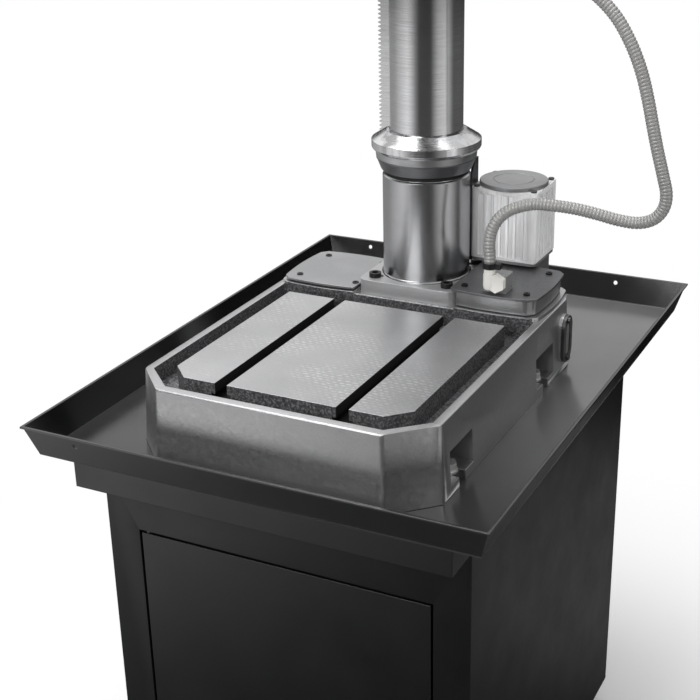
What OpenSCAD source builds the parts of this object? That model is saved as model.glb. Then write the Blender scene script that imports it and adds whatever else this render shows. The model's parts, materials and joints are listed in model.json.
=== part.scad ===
/* [Cabinet] */
// Width of the cabinet
cab_w = 568; // [540:2:600]
// Depth of the cabinet
cab_d = 666; // [650:2:700]
// Height of the cabinet above its plinth
cab_h = 668; // [600:2:760]
// Thickness of the cabinet sheet
cab_t = 3; // [2:0.5:4]
// Height of the plinth
plinth_h = 40; // [30:1:80]
// Width of the plinth's foot flange
plinth_flange = 48; // [40:1:60]
// Overhang of the front apron
apron_d = 64; // [50:1:70]
// Height of the front apron
apron_h = 38; // [30:1:50]
// Width of the door
door_w = 454; // [400:2:480]
// Height of the door
door_h = 486; // [420:2:520]
// Thickness of the door
door_t = 20; // [18:1:26]
// Gap round the door
door_gap = 3.7; // [3.4:0.1:6]
// Radius of the hinge pins
pin_r = 3; // [2.5:0.1:3]
// Radius of the floor anchor holes
anchor_r = 7; // [5:0.5:9]

/* [Chip tray] */
// Width of the tray's floor
tray_w = 659; // [640:1:700]
// Depth of the tray's floor
tray_d = 890; // [860:1:930]
// Height of the tray's walls
tray_h = 45; // [35:1:60]
// How far each wall leans out
tray_flare = 14; // [8:1:20]
// Thickness of the tray sheet
tray_t = 2; // [1.5:0.5:3]
// Sideways place of the tray's centre
tray_x = -10; // [-20:1:0]
// Front to back place of the tray's centre
tray_y = 49; // [40:1:60]
// Radius of the holes in the tray's walls
tray_hole_r = 3.5; // [2:0.5:5]

/* [Base casting] */
// Width of the base at its rim
base_w = 450; // [440:1:470]
// Depth of the base at its rim
base_d = 600; // [596:1:610]
// Height of the base at its rim
base_h = 110.6; // [105:0.1:125]
// How much wider the base is at the bottom, each side
base_draft = 5; // [2:0.5:8]
// Front face of the base
base_y = -351; // [-353:1:-349]
// Chamfer at the base's front corners
base_chamfer = 57; // [50:1:60]
// Thickness of the trough's outer wall
rim_t = 13; // [10:0.5:15]
// Depth of the trough below the rim
trough_depth = 27; // [24:0.5:28]
// Width of the trough at the sides
trough_w = 31; // [26:0.5:34]
// Width of the trough at the front
trough_front = 27; // [22:0.5:32]
// How far the machined pads stand above the rim
pad_rise = 4.4; // [2:0.1:6]
// Length of the pads, front to back
pad_l = 351; // [330:1:352]
// Width of a T-slot at its mouth
slot_w = 18.5; // [14:0.5:22]
// Width of a T-slot below
slot_wide = 30; // [26:0.5:34]
// Height of the wide part of a T-slot
slot_h = 11; // [8:0.5:12]
// Distance of each T-slot from the middle
slot_x = 92; // [85:0.5:100]
// Radius of the anchor bolts
bolt_r = 7.5; // [6:0.5:9]

/* [Covers] */
// Sideways place of each cover
cover_x = 143; // [142:0.5:146]
// Half width of a cover at its middle
cover_r = 75; // [73:0.5:76]
// Radius of a cover's bowed sides
cover_bow = 400; // [300:10:600]
// Distance of a cover's screws from its centre, each way
cover_screw = 50; // [48:0.5:51]
// Height of the boss under a cover
boss_h = 6.4; // [4:0.2:8]
// Thickness of the left cover plate
plate_t = 3.5; // [3:0.5:5]
// Thickness of the left gasket
gasket_l = 2.5; // [2:0.1:3]
// Thickness of the right gasket
gasket_r = 1.5; // [1:0.1:2]
// Height of the right cover with its lid
box_h = 26.5; // [25:0.5:30]
// Thickness of the right cover's lid
lid_t = 4; // [3:0.5:6]

/* [Column] */
// Diameter of the column tube
col_d = 112.6; // [110:0.2:114]
// Wall of the column tube
col_wall = 8; // [5:0.5:12]
// Height of the column above the base
col_h = 1004; // [990:2:1060]
// Column axis behind the front of the base
col_set = 518; // [516:0.5:520]
// Side of the square column flange
foot_w = 164; // [160:1:166]
// Thickness of the column flange
foot_t = 25.4; // [20:0.2:30]
// Diameter of the sleeve on the column flange
sleeve_d = 136; // [132:1:138]
// Height of the sleeve above the flange
sleeve_h = 162; // [150:1:170]
// Distance of the foot bolts from the column axis, each way
foot_bolt = 61; // [59:0.5:62]
// Height of the grey seat ring
seat_h = 26; // [20:1:30]
// Height of the rack ring
ring_h = 51; // [45:1:55]
// Width of the rack
rack_w = 22; // [18:0.5:26]
// Rack tips from the column axis
rack_r = 74.6; // [74:0.1:75.4]

/* [Pump] */
// Width of the pump body
pump_w = 108; // [100:1:110]
// Depth of the pump body
pump_d = 94; // [90:1:96]
// Height of the pump body
pump_h = 114; // [105:1:125]
// Thickness of the pump's foot flange
pump_flange_t = 5; // [4:0.5:5.5]
// Left face of the pump body
pump_x = 58.5; // [58:0.5:60]
// Pump centre behind the column axis
pump_back = 87; // [86:0.5:90]
// Diameter of the pump cap
pump_cap_d = 100; // [90:1:102]
// Height of the pump cap
pump_cap_h = 9; // [6:0.5:12]
// Radius of the pump shaft
pump_shaft_r = 6; // [5:0.5:8]

/* [Hose] */
// Outer diameter of the ribbed hose
hose_d = 18; // [16:0.5:18]
// Bore of the ribbed hose
hose_bore = 12; // [9:0.5:13]
// Number of ribs
hose_ribs = 170; // [120:5:190]
// Height of the hose bracket's collar
collar_h = 30; // [24:1:36]

/* [Head] */
// Distance from the column axis to the spindle axis
throat = 301; // [300:1:304]
// Width of the head casting
head_w = 200; // [190:2:210]
// Height of the head casting
head_h = 350; // [350:1:370]
// Bottom of the head above the base's rim
head_lift = 619.4; // [610:0.2:640]
// Wall of the head casting
head_wall = 12; // [10:0.5:14]
// Diameter of the column clamp
clamp_d = 160; // [156:1:162]
// Height of the column clamp
clamp_h = 150; // [130:2:160]
// Diameter of the quill
quill_d = 75; // [72:0.5:76]
// Length of the quill
quill_l = 207; // [206:1:210]
// Travel of the quill
quill_travel = 120; // [80:1:120]
// Radius of the spindle in its bearings
spindle_r = 15; // [14.4:0.1:16]
// Running clearance on a radius
run_gap = 0.06; // [0.02:0.01:0.09]

/* [Gears] */
// Module of the gears and racks
mod = 2; // [2]
// Teeth of the motor pinion
motor_teeth = 20; // [20]
// Teeth of the gear that the motor pinion drives
lay_big = 42; // [42]
// Teeth of the small gear on the layshaft
lay_small = 24; // [24]
// Teeth of the gear on the drive sleeve
sleeve_teeth = 38; // [38]
// Teeth of the feed pinion
feed_teeth = 24; // [24]
// Teeth of the elevating pinion
crank_teeth = 18; // [18]
// Backlash at the pitch line
backlash = 0.25; // [0.2:0.05:0.4]

/* [Motor] */
// Diameter of the motor housing
motor_d = 160; // [150:1:162]
// Height of the motor housing
motor_h = 160; // [140:1:180]
// Height of the fan cowl
cowl_h = 50; // [45:1:60]
// Radius of the motor shaft
motor_shaft_r = 12; // [10:0.5:12]

/* [Controls] */
// Length of a feed spoke from the hub's axis
spoke_l = 150; // [120:1:155]
// Radius of a feed spoke
spoke_r = 6; // [5:0.5:8]
// Radius of a feed knob
knob_r = 16; // [12:0.5:17]
// Length of a speed lever
lever_l = 72; // [60:1:80]
// Length of the elevating crank's arm
crank_l = 95; // [80:1:110]
// Length of the clamp lever
clamp_l = 72; // [60:1:80]

/* [Hidden] */
$fn = 64;
eps = 0.05;
fit = 0.05;
seat = 0.3;

// Heights, from the floor up
z_cab = plinth_h + cab_h;
z_floor = z_cab + tray_t;
z_deck = z_floor + base_h;
z_pad = z_deck + pad_rise;
z_trough = z_deck - trough_depth;
z_boss = z_deck + boss_h;
z_plate = z_boss + gasket_l;
z_lid = z_boss + gasket_r + box_h;
z_foot = z_deck + foot_t;
z_sleeve = z_foot + sleeve_h;
z_ring = z_sleeve + seat_h;
z_ring_top = z_ring + ring_h;
z_column = z_deck + col_h;

// Base and column
col_y = base_y + col_set;
col_r = col_d / 2;
sleeve_r = sleeve_d / 2;
pad_front = base_y + rim_t + trough_front + 2;
pad_half = base_w / 2 - rim_t - trough_w;
pad_chamfer = 30;
trough_back = base_y + 429;
slot_neck = 16;
floor_plate = 12;
pocket_front = base_y + 79;
pocket_back = base_y + 405;
pocket_l = 76;
pocket_z = [14, 63];
pocket_in = 40;
bolt_x = base_w / 2 - 18;
bolt_y = [pocket_front + 38, pocket_back + 38];
cover_y = base_y + 501;
gauge_y = base_y + 527;
gauge_z = z_floor + 52.5;
gauge_screw = 30.5;
cover_flat = foot_w / 2 + 4;
lid_flat = foot_bolt + 15;
cover_corner = 14;
screw_r = 3;
foot_bolt_r = 6;

// Pump
pump_cx = pump_x + pump_w / 2;
pump_cy = col_y + pump_back;
z_pump_foot = z_lid + 4;
z_pump = z_pump_foot + pump_flange_t;
z_pump_top = z_pump + pump_h;
well_r = 17;
z_well = z_floor + 20;

// Hose
elbow_x = 139;
elbow_y = base_y + 436;
outlet_x = 145;
outlet_w = 38;
nut_r = 20.8;
z_elbow = z_lid + 21;
z_hose = z_lid + 39;
hose_r = hose_d / 2;
z_collar = z_deck + 489.4;
tap_x = [108, 136];
tap_y = [col_y - 54, col_y - 28];
tap_mid_y = (tap_y[0] + tap_y[1]) / 2;
z_tap = z_collar + collar_h / 2;
ferrule_l = 15;
hose_end = tap_x[1] + ferrule_l;
tap_turn_x = tap_x[1] - 13;

// Head
sp_y = col_y - throat;
z_head = z_deck + head_lift;
z_head_top = z_head + head_h;
head_front = sp_y - 90;
head_back = sp_y + 194;
z_clamp = z_head + 60;
clamp_r = clamp_d / 2;
quill_r = quill_d / 2;
z_quill = z_head - 35;
z_quill_top = z_quill + quill_l;
z_block = z_head + 210;
z_roof = z_head_top - 35;
pitch = PI * mod;
lay_y = sp_y + mod * (lay_small + sleeve_teeth) / 2;
motor_y = lay_y + mod * (motor_teeth + lay_big) / 2;
z_low_gear = z_block + 16;
z_high_gear = z_block + 52;
gear_t = 22;
feed_r = mod * feed_teeth / 2;
hub_r = 30;
hub_x = head_w / 2 + 40;
spoke_tilt = 9;
spoke_from = (hub_r + seat + spoke_r * sin(spoke_tilt)) / cos(spoke_tilt);
feed_y = sp_y + quill_r - mod + feed_r;
z_feed = z_head + 40;
quill_rack_low = z_feed - 15;
crank_r = mod * crank_teeth / 2;
crank_x = -(rack_r - mod + crank_r);
z_crank = z_clamp + 75;
rack_low = z_ring + 6;
rack_high = z_column - 10;
clamp_x = clamp_r + 15;
z_clamp_lever = z_clamp + 75;
panel_x = [-head_w / 2 - 50, -head_w / 2];
panel_y = [head_front, head_front + 74];
panel_z = [z_head + 100, z_head + 240];
button_x = -head_w / 2 - 25;
z_start = z_head + 205;
z_stop = z_head + 145;
lever_x = 46;
z_lever = z_head + 170;
cover_face = head_front - 8;
z_motor = z_head_top;
z_cowl = z_motor + motor_h;

// Route of the hose, chosen by hand: from the elbow up, across, round and up to the tap
route = [[elbow_x, elbow_y, z_hose], [elbow_x, elbow_y, z_hose + hose_d], [137, 87, 930],
    [138, 92, 949], [146, 99, 968], [163, 107, 982], [192, 115, 991], [223, 121, 991],
    [255, 127, 988], [285, 133, 982], [315, 139, 975], [343, 143, 973], [365, 144, 981],
    [378, 144, 998], [381, 143, 1020], [375, 140, 1048], [366, 136, 1084], [358, 132, 1120],
    [350, 129, 1156], [339, 127, 1194], [322, 126, 1232], [298, 126, 1268], [264, 126, 1298],
    [226, 126, 1317], [190, 126, 1325], [hose_end + hose_d, tap_mid_y, z_tap],
    [hose_end, tap_mid_y, z_tap]];

function unit(v) = v / norm(v);
function bezier_mid(a, b, c, d, t) = 0.5 * ((2 * b) + (c - a) * t
    + (2 * a - 5 * b + 4 * c - d) * t * t + (3 * b - a - 3 * c + d) * t * t * t);
function smooth(p, n) = [for (i = [0 : len(p) - 2]) for (k = [0 : n - 1])
    bezier_mid(p[max(i - 1, 0)], p[i], p[i + 1], p[min(i + 2, len(p) - 1)], k / n),
    p[len(p) - 1]];
function lengths(p, i = 0, s = 0) = i >= len(p) ? []
    : let (s1 = i == 0 ? 0 : s + norm(p[i] - p[i - 1])) concat([s1], lengths(p, i + 1, s1));
function at(p, l, s) = let (i = min(len([for (v = l) if (v <= s) 1]), len(p) - 1),
    a = l[i - 1], t = (s - a) / (l[i] - a)) p[i - 1] + (p[i] - p[i - 1]) * t;
function heading(p, l, s) = let (a = max(s - 2, 0), b = min(s + 2, l[len(l) - 1] - 0.001))
    unit(at(p, l, b) - at(p, l, a));
function ring_at(p, l, s, r, n, d) = let (c = at(p, l, s), u = unit(cross(d, [0, 1, 0])),
    v = cross(u, d)) [for (k = [0 : n - 1]) c + r * (cos(360 * k / n) * u + sin(360 * k / n) * v)];

// Involute gears and racks
function inv(a) = tan(a) * 180 / PI - a;
function half_tooth(r, rb, teeth) = 90 / teeth - backlash / 2 / (mod * teeth / 2) * 180 / PI
    + inv(20) - inv(acos(min(rb / r, 1)));
function gear_points(teeth) = let (rp = mod * teeth / 2, rb = rp * cos(20), ra = rp + mod,
    rf = rp - 1.25 * mod, rs = [rf, max(rb, rf) + 0.01, rp, rp + mod / 2, ra])
    [for (i = [0 : teeth - 1]) let (mid = 360 * i / teeth)
        each concat(
            [for (r = rs) let (a = mid - half_tooth(max(r, rb), rb, teeth)) r * [cos(a), sin(a)]],
            [for (k = [len(rs) - 1 : -1 : 0])
                let (r = rs[k], a = mid + half_tooth(max(r, rb), rb, teeth)) r * [cos(a), sin(a)]])];
function rack_points(back, low, high, first) = let (tip = pitch / 4 - backlash / 2 - mod * tan(20),
    root = pitch / 4 - backlash / 2 + 1.25 * mod * tan(20), n = floor((high - first - root) / pitch),
    m = floor((first - low - root) / pitch))
    concat([[back, low], [-1.25 * mod, low]],
        [for (i = [-m : n]) let (z = first + i * pitch)
            each [[-1.25 * mod, z - root], [mod, z - tip], [mod, z + tip], [-1.25 * mod, z + root]]],
        [[-1.25 * mod, high], [back, high]]);

module span(x, y, z) {
    translate([x[0], y[0], z[0]]) cube([x[1] - x[0], y[1] - y[0], z[1] - z[0]]);
}
module rod_z(r, z) {
    translate([0, 0, z[0]]) cylinder(r = r, h = z[1] - z[0]);
}
module rod_y(r, y) {
    translate([0, y[0], 0]) rotate([-90, 0, 0]) cylinder(r = r, h = y[1] - y[0]);
}
module rod_x(r, x) {
    translate([x[0], 0, 0]) rotate([0, 90, 0]) cylinder(r = r, h = x[1] - x[0]);
}
module pipe_z(r, bore, z) {
    difference() {
        rod_z(r, z);
        rod_z(bore, [z[0] - 1, z[1] + 1]);
    }
}
module rounded(w, d, r, h) {
    linear_extrude(h) union() {
        square([w - 2 * r, d], center = true);
        square([w, d - 2 * r], center = true);
        for (x = [-1, 1], y = [-1, 1]) translate([x * (w / 2 - r), y * (d / 2 - r)]) circle(r);
    }
}
module gear(teeth, bore, h) {
    linear_extrude(h) difference() {
        polygon(gear_points(teeth));
        circle(bore);
    }
}
module mirrored() {
    children();
    mirror([1, 0, 0]) children();
}

// Cabinet
module cabinet_opening() {
    span([-door_w / 2 - door_gap, door_w / 2 + door_gap], [-cab_d / 2 - 1, -cab_d / 2 + cab_t + 1],
        [plinth_h + 50 - door_gap, plinth_h + 50 + door_h + door_gap]);
}
module hinge_places() {
    for (z = [0, 1]) translate([-door_w / 2 + 7.5, -cab_d / 2 + 7.5, 0]) children(z);
}
module cabinet() color("#26282b") difference() {
    union() {
        difference() {
            span([-cab_w / 2, cab_w / 2], [-cab_d / 2, cab_d / 2], [plinth_h, z_cab]);
            span([-cab_w / 2 + cab_t, cab_w / 2 - cab_t], [-cab_d / 2 + cab_t, cab_d / 2 - cab_t],
                [plinth_h + cab_t, z_cab - cab_t]);
            cabinet_opening();
        }
        difference() {
            span([-cab_w / 2, cab_w / 2], [-cab_d / 2 - apron_d, -cab_d / 2 + eps], [z_cab - apron_h, z_cab]);
            span([-cab_w / 2 + cab_t, cab_w / 2 - cab_t], [-cab_d / 2 - apron_d + cab_t, -cab_d / 2],
                [z_cab - apron_h - 1, z_cab - cab_t]);
        }
        for (s = [-1, 1]) span(
            s * (door_w / 2 + door_gap) < 0 ? [-door_w / 2 - door_gap - cab_t, -door_w / 2 - door_gap]
            : [door_w / 2 + door_gap, door_w / 2 + door_gap + cab_t],
            [-cab_d / 2 + cab_t - eps, -cab_d / 2 + 33],
            [plinth_h + 50 - door_gap - cab_t, plinth_h + 50 + door_h + door_gap + cab_t]);
        for (z = [plinth_h + 50 - door_gap - cab_t, plinth_h + 50 + door_h + door_gap])
            span([-door_w / 2 - door_gap - eps, door_w / 2 + door_gap + eps],
                [-cab_d / 2 + cab_t - eps, -cab_d / 2 + 33], [z, z + cab_t]);
    }
    for (z = [0, 1]) translate([-door_w / 2 + 7.5, -cab_d / 2 + 7.5, 0])
        rod_z(pin_r + fit, z == 0 ? [plinth_h + 40, plinth_h + 60]
            : [plinth_h + 50 + door_h - 4, plinth_h + 60 + door_h]);
    for (s = [-1, 1], y = bolt_y) translate([s * bolt_x, y, 0]) rod_z(bolt_r + 0.5, [z_cab - 9, z_cab + 9]);
}
module hinge_pins() color("silver") translate([-door_w / 2 + 7.5, -cab_d / 2 + 7.5, 0]) {
    rod_z(pin_r, [plinth_h + 50 - door_gap - cab_t, plinth_h + 50 + 12]);
    rod_z(pin_r + 1, [plinth_h + 50 - door_gap - cab_t - 3, plinth_h + 50 - door_gap - cab_t]);
    rod_z(pin_r, [plinth_h + 50 + door_h - 12, plinth_h + 50 + door_h + door_gap + cab_t]);
    rod_z(pin_r + 1, [plinth_h + 50 + door_h + door_gap + cab_t, plinth_h + 56 + door_h + door_gap]);
}
module plinth() color("#1c1d1f") difference() {
    span([-cab_w / 2 + 20, cab_w / 2 - 20], [-cab_d / 2 + 20, cab_d / 2 - 20], [0, plinth_h]);
    span([-cab_w / 2 + 20 + cab_t, cab_w / 2 - 20 - cab_t], [-cab_d / 2 + 20 + cab_t, cab_d / 2 - 20 - cab_t],
        [cab_t, plinth_h + 1]);
    span([-cab_w / 2 + 20 + plinth_flange, cab_w / 2 - 20 - plinth_flange],
        [-cab_d / 2 + 20 + plinth_flange, cab_d / 2 - 20 - plinth_flange], [-1, cab_t + 1]);
    for (x = [-1, 1], y = [-1, 1])
        translate([x * (cab_w / 2 - 20 - plinth_flange / 2), y * (cab_d / 2 - 20 - plinth_flange / 2), 0])
            rod_z(anchor_r, [-1, cab_t + 1]);
}
module cabinet_door() color("#26282b") translate([0, -cab_d / 2, plinth_h + 50]) difference() {
    span([-door_w / 2, door_w / 2], [0, door_t], [0, door_h]);
    span([-door_w / 2 + cab_t, door_w / 2 - cab_t], [cab_t, door_t + 1], [cab_t, door_h - cab_t]);
    translate([-door_w / 2 + 7.5, 7.5, 0]) rod_z(pin_r + run_gap, [-1, door_h + 1]);
    translate([door_w / 2 - 34, 0, door_h / 2]) rod_y(6 + run_gap, [-1, cab_t + 1]);
}
module door_latch() color("silver") translate([door_w / 2 - 34, -cab_d / 2, plinth_h + 50 + door_h / 2]) {
    rod_y(13, [-8, -seat]);
    rod_y(6, [-seat - eps, cab_t + 8]);
    span([-3, 3], [-17, -8 + eps], [-11, 11]);
    difference() {
        span([-7, 22], [cab_t + 3, cab_t + 7], [-7, 7]);
        rod_y(5.9, [cab_t + 2, cab_t + 8]);
    }
}

// Chip tray
module tray_slab(grow, z, h) {
    translate([tray_x - tray_w / 2 - grow, tray_y - tray_d / 2 - grow, z])
        cube([tray_w + 2 * grow, tray_d + 2 * grow, h]);
}
module chip_tray() color("#1f2124") difference() {
    union() {
        hull() {
            tray_slab(tray_t, z_cab, 0.5);
            tray_slab(tray_flare + tray_t, z_floor + tray_h - 0.5, 0.5);
        }
        tray_slab(tray_flare + tray_t + 2.5, z_floor + tray_h - 3, 3);
    }
    hull() {
        tray_slab(0, z_floor, 0.5);
        tray_slab(tray_flare, z_floor + tray_h, 0.5);
    }
    for (p = [[-266, 33.5], [213, 31]]) translate([p[0], 0, z_floor + p[1]])
        rod_y(tray_hole_r, [tray_y, tray_y + tray_d / 2 + tray_flare + 9]);
    translate([-270, 0, z_floor + 29]) rod_y(tray_hole_r, [tray_y - tray_d / 2 - tray_flare - 9, tray_y]);
    for (s = [-1, 1], y = bolt_y) translate([s * bolt_x, y, 0]) rod_z(bolt_r + 0.5, [z_cab - 1, z_floor + 1]);
}

// Base casting
function base_outline(g) = let (w = base_w / 2 + g, b = base_y - g, c = base_chamfer,
    e = base_y + base_d + g)
    [[-w + c, b], [w - c, b], [w, b + c], [w, e - 57], [w - 6, e - 38], [w - 22, e - 20],
    [w - 44, e - 5], [w - 65, e], [-w + 65, e], [-w + 44, e - 5], [-w + 22, e - 20],
    [-w + 6, e - 38], [-w, e - 57], [-w, b + c]];
module cover_shape(g, flat, h) {
    r = cover_r + g;
    linear_extrude(h) intersection() {
        for (a = [0, 90, 180, 270]) rotate(a) translate([cover_bow - r, 0]) circle(cover_bow, $fn = 96);
        intersection_for (a = [0, 90, 180, 270]) rotate(a) translate([r - cover_bow, 0])
            circle(cover_bow, $fn = 96);
        circle(r * 1.235);
        translate([flat < 0 ? flat : -200, -200]) square([200 - (flat < 0 ? flat : -200), 400]);
    }
}
module cover_place(side) {
    translate([side * cover_x, cover_y, 0]) mirror([side < 0 ? 1 : 0, 0, 0]) children();
}
module cover_screw_places() {
    for (x = [-1, 1], y = [-1, 1]) translate([x * cover_screw, y * cover_screw, 0]) children();
}
module t_slot() {
    span([-slot_w / 2, slot_w / 2], [pad_front - 1, pad_front + pad_l + 1], [z_pad - slot_neck - 1, z_pad + 1]);
    span([-slot_wide / 2, slot_wide / 2], [pad_front - 1, pad_front + pad_l + 1],
        [z_pad - slot_neck - slot_h, z_pad - slot_neck]);
}
module pads() {
    translate([0, 0, z_trough - eps]) linear_extrude(z_pad - z_trough + eps) polygon([
        [-pad_half, pad_front + pad_chamfer], [-pad_half + pad_chamfer, pad_front],
        [pad_half - pad_chamfer, pad_front], [pad_half, pad_front + pad_chamfer],
        [pad_half, pad_front + pad_l], [-pad_half, pad_front + pad_l]]);
}
module pockets() {
    for (y = [pocket_front, pocket_back]) {
        span([base_w / 2 - pocket_in, base_w / 2 + 20], [y, y + pocket_l],
            [z_floor + pocket_z[0], z_floor + pocket_z[1]]);
        span([bolt_x - bolt_r - 3, base_w / 2 + 20], [y + pocket_l / 2 - bolt_r - 3, y + pocket_l / 2 + bolt_r + 3],
            [z_floor - 1, z_floor + pocket_z[0] + 1]);
    }
}
module base_hollows() {
    top = z_trough - floor_plate;
    for (i = [-1 : 1], j = [0, 1]) translate([i * 118, base_y + 34 + j * 186, z_floor - 1])
        cube([108, 176, top - z_floor + 1]) ;
}
module tank(side) {
    mirror([side < 0 ? 1 : 0, 0, 0]) {
        span([foot_w / 2 + 10, base_w / 2 - pocket_in - 10], [base_y + 441, base_y + base_d - 14],
            [z_floor + 12, z_deck - 14]);
        span([base_w / 2 - pocket_in - 11, base_w / 2 - 25], [base_y + 491, base_y + base_d - 32],
            [z_floor + 12, z_deck - 14]);
    }
    cover_place(side) rod_z(48, [z_deck - 20, z_boss + 1]);
}
module base_casting() color("#4a4c4f") difference() {
    union() {
        difference() {
            hull() {
                translate([0, 0, z_floor]) linear_extrude(0.5) polygon(base_outline(base_draft));
                translate([0, 0, z_deck - 0.5]) linear_extrude(0.5) polygon(base_outline(0));
            }
            translate([0, 0, z_trough]) linear_extrude(trough_depth + 1) polygon([
                [-base_w / 2 + rim_t, base_y + base_chamfer + 3], [-base_w / 2 + base_chamfer + 5, base_y + rim_t + 2],
                [base_w / 2 - base_chamfer - 5, base_y + rim_t + 2], [base_w / 2 - rim_t, base_y + base_chamfer + 3],
                [base_w / 2 - rim_t, trough_back], [-base_w / 2 + rim_t, trough_back]]);
        }
        pads();
        span([-base_w / 2 + rim_t, base_w / 2 - rim_t], [trough_back, trough_back + 6], [z_deck - eps, z_deck + 2]);
        for (s = [-1, 1]) translate([0, 0, z_deck - 3]) cover_place(s)
            cover_shape(4, -cover_x + cover_flat - 1, boss_h + 3);
        span([pump_cx - 27, pump_cx + 48], [base_y + base_d - 22, pump_cy + 40], [z_floor, z_pump_foot]);
        span([pump_cx - 48, pump_cx - 26], [base_y + base_d + 2, pump_cy + 40], [z_floor, z_pump_foot]);
        translate([base_w / 2 - 6, gauge_y, gauge_z]) rotate([90, 0, 90])
            linear_extrude(11.5) stadium(42, 79);
    }
    for (s = [-1, 1]) translate([s * slot_x, 0, 0]) t_slot();
    mirrored() pockets();
    translate([-54, 0, 0]) base_hollows();
    for (s = [-1, 1]) tank(s);
    for (s = [-1, 1]) cover_place(s) cover_screw_places() rod_z(screw_r + fit, [z_deck - 11, z_boss + 1]);
    for (x = [-1, 1], y = [-1, 1]) translate([x * foot_bolt, col_y + y * foot_bolt, 0])
        rod_z(foot_bolt_r + fit, [z_deck - 40, z_deck + 1]);
    translate([pump_cx, pump_cy, 0]) rod_z(well_r, [z_well, z_pump_foot + 1]);
    span([pump_cx - well_r, pump_cx + well_r], [base_y + base_d - 40, pump_cy], [z_well, z_well + 40]);
    span([base_w / 2 - 30, base_w / 2 + 20], [gauge_y - 6, gauge_y + 6], [gauge_z - 20.5, gauge_z + 20.5]);
    for (s = [-1, 1]) translate([0, gauge_y, gauge_z + s * gauge_screw])
        rod_x(3.05, [base_w / 2 - 8, base_w / 2 + 20]);
}
module stadium(w, h) {
    square([w, h - w], center = true);
    for (s = [-1, 1]) translate([0, s * (h - w) / 2]) circle(w / 2);
}
module anchor_bolts() color("silver") mirrored() for (y = bolt_y) translate([bolt_x, y, 0]) {
    z = z_floor + pocket_z[0];
    rod_z(bolt_r, [z_cab - 24, z + 4]);
    difference() {
        rod_z(bolt_r * 2, [z, z + 3]);
        rod_z(bolt_r - 0.5, [z - 1, z + 4]);
    }
    translate([0, 0, z + 3]) cylinder(r = bolt_r * 1.85, h = 10, $fn = 6);
    difference() {
        translate([0, 0, z_cab - cab_t - 13]) cylinder(r = bolt_r * 1.85, h = 13, $fn = 6);
        rod_z(bolt_r - 0.5, [z_cab - 30, z_cab]);
    }
}

// Covers over the rear deck
module left_cover() color("#8c8f92") difference() {
    translate([0, 0, z_plate]) cover_place(-1) cover_shape(0, -cover_x + cover_flat, plate_t);
    cover_place(-1) cover_screw_places() rod_z(screw_r + 0.3, [z_plate - 1, z_plate + plate_t + 1]);
}
module right_cover() color("#55585b") difference() {
    union() {
        cover_place(1) translate([0, 0, z_boss + gasket_r]) difference() {
            cover_shape(-4, -cover_x + cover_flat, box_h - lid_t + eps);
            translate([0, 0, -1]) cover_shape(-9, -cover_x + cover_flat + 5, box_h - lid_t + 1);
        }
        cover_place(1) intersection() {
            cover_screw_places() rod_z(9, [z_boss + gasket_r, z_lid - lid_t + eps]);
            translate([0, 0, z_boss]) cover_shape(-4, -cover_x + cover_flat, box_h + 9);
        }
        cover_place(1) translate([0, 0, z_lid - lid_t]) cover_shape(0, -cover_x + lid_flat, lid_t);
    }
    cover_place(1) cover_screw_places() rod_z(screw_r + 0.3, [z_boss, z_lid + 1]);
    cover_place(1) translate([0, -36, 0]) rod_z(6, [z_lid - lid_t - 1, z_lid + 1]);
}
module gasket(side, z, h) {
    difference() {
        translate([0, 0, z]) cover_place(side) cover_shape(-6, -cover_x + cover_flat + 2, h);
        cover_place(side) rod_z(52, [z - 1, z + h + 1]);
        cover_place(side) cover_screw_places() rod_z(screw_r + 0.3, [z - 1, z + h + 1]);
    }
}
module cover_gaskets() color("#111213") {
    gasket(-1, z_boss, gasket_l);
    gasket(1, z_boss, gasket_r);
}
module button_screw(z, l) {
    rod_z(screw_r, [z - l, z + eps]);
    difference() {
        rod_z(6.2, [z, z + 4.6]);
        translate([0, 0, z + 2]) cylinder(r = 3.2, h = 3, $fn = 6);
    }
}
module cover_screws() color("#151617") {
    cover_place(-1) cover_screw_places() button_screw(z_plate + plate_t, plate_t + gasket_l + 12);
    cover_place(1) cover_screw_places() button_screw(z_lid, box_h + gasket_r + 12);
}
module sight_gauge() color("silver") translate([base_w / 2 + 5.5, gauge_y, gauge_z]) {
    rotate([90, 0, 90]) linear_extrude(5) difference() {
        stadium(39, 76);
        stadium(18, 52);
        for (s = [-1, 1]) translate([0, s * gauge_screw]) circle(3.3);
    }
    for (s = [-1, 1]) translate([0, 0, s * gauge_screw]) {
        rod_x(3, [-12, 5.5]);
        rod_x(5, [5, 8]);
    }
}
module sight_glass() color("#c9d2c4") translate([base_w / 2 + 5.5, gauge_y, gauge_z])
    rotate([90, 0, 90]) linear_extrude(4) stadium(17.6, 51.6);

// Column
module column_foot() color("#5b5f63") difference() {
    union() {
        translate([0, col_y, z_deck]) rounded(foot_w, foot_w, 15, foot_t);
        translate([0, col_y, 0]) rotate_extrude() polygon([
            [col_r - 5, z_foot - 1], [sleeve_r + 7, z_foot - 1], [sleeve_r + 7, z_foot + 3], [sleeve_r + 4, z_foot + 7],
            [sleeve_r + 1.5, z_foot + 9], [sleeve_r, z_foot + 13], [sleeve_r, z_sleeve - 3],
            [sleeve_r - 2.5, z_sleeve - 1], [sleeve_r - 3, z_sleeve], [col_r - 5, z_sleeve]]);
    }
    translate([0, col_y, 0]) rod_z(col_r + fit, [z_deck + 6, z_sleeve + 1]);
    translate([0, col_y, 0]) rod_z(col_r - col_wall, [z_deck - 1, z_deck + 7]);
    for (x = [-1, 1], y = [-1, 1]) translate([x * foot_bolt, col_y + y * foot_bolt, 0])
        rod_z(foot_bolt_r + 0.4, [z_deck - 1, z_foot + 1]);
}
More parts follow.
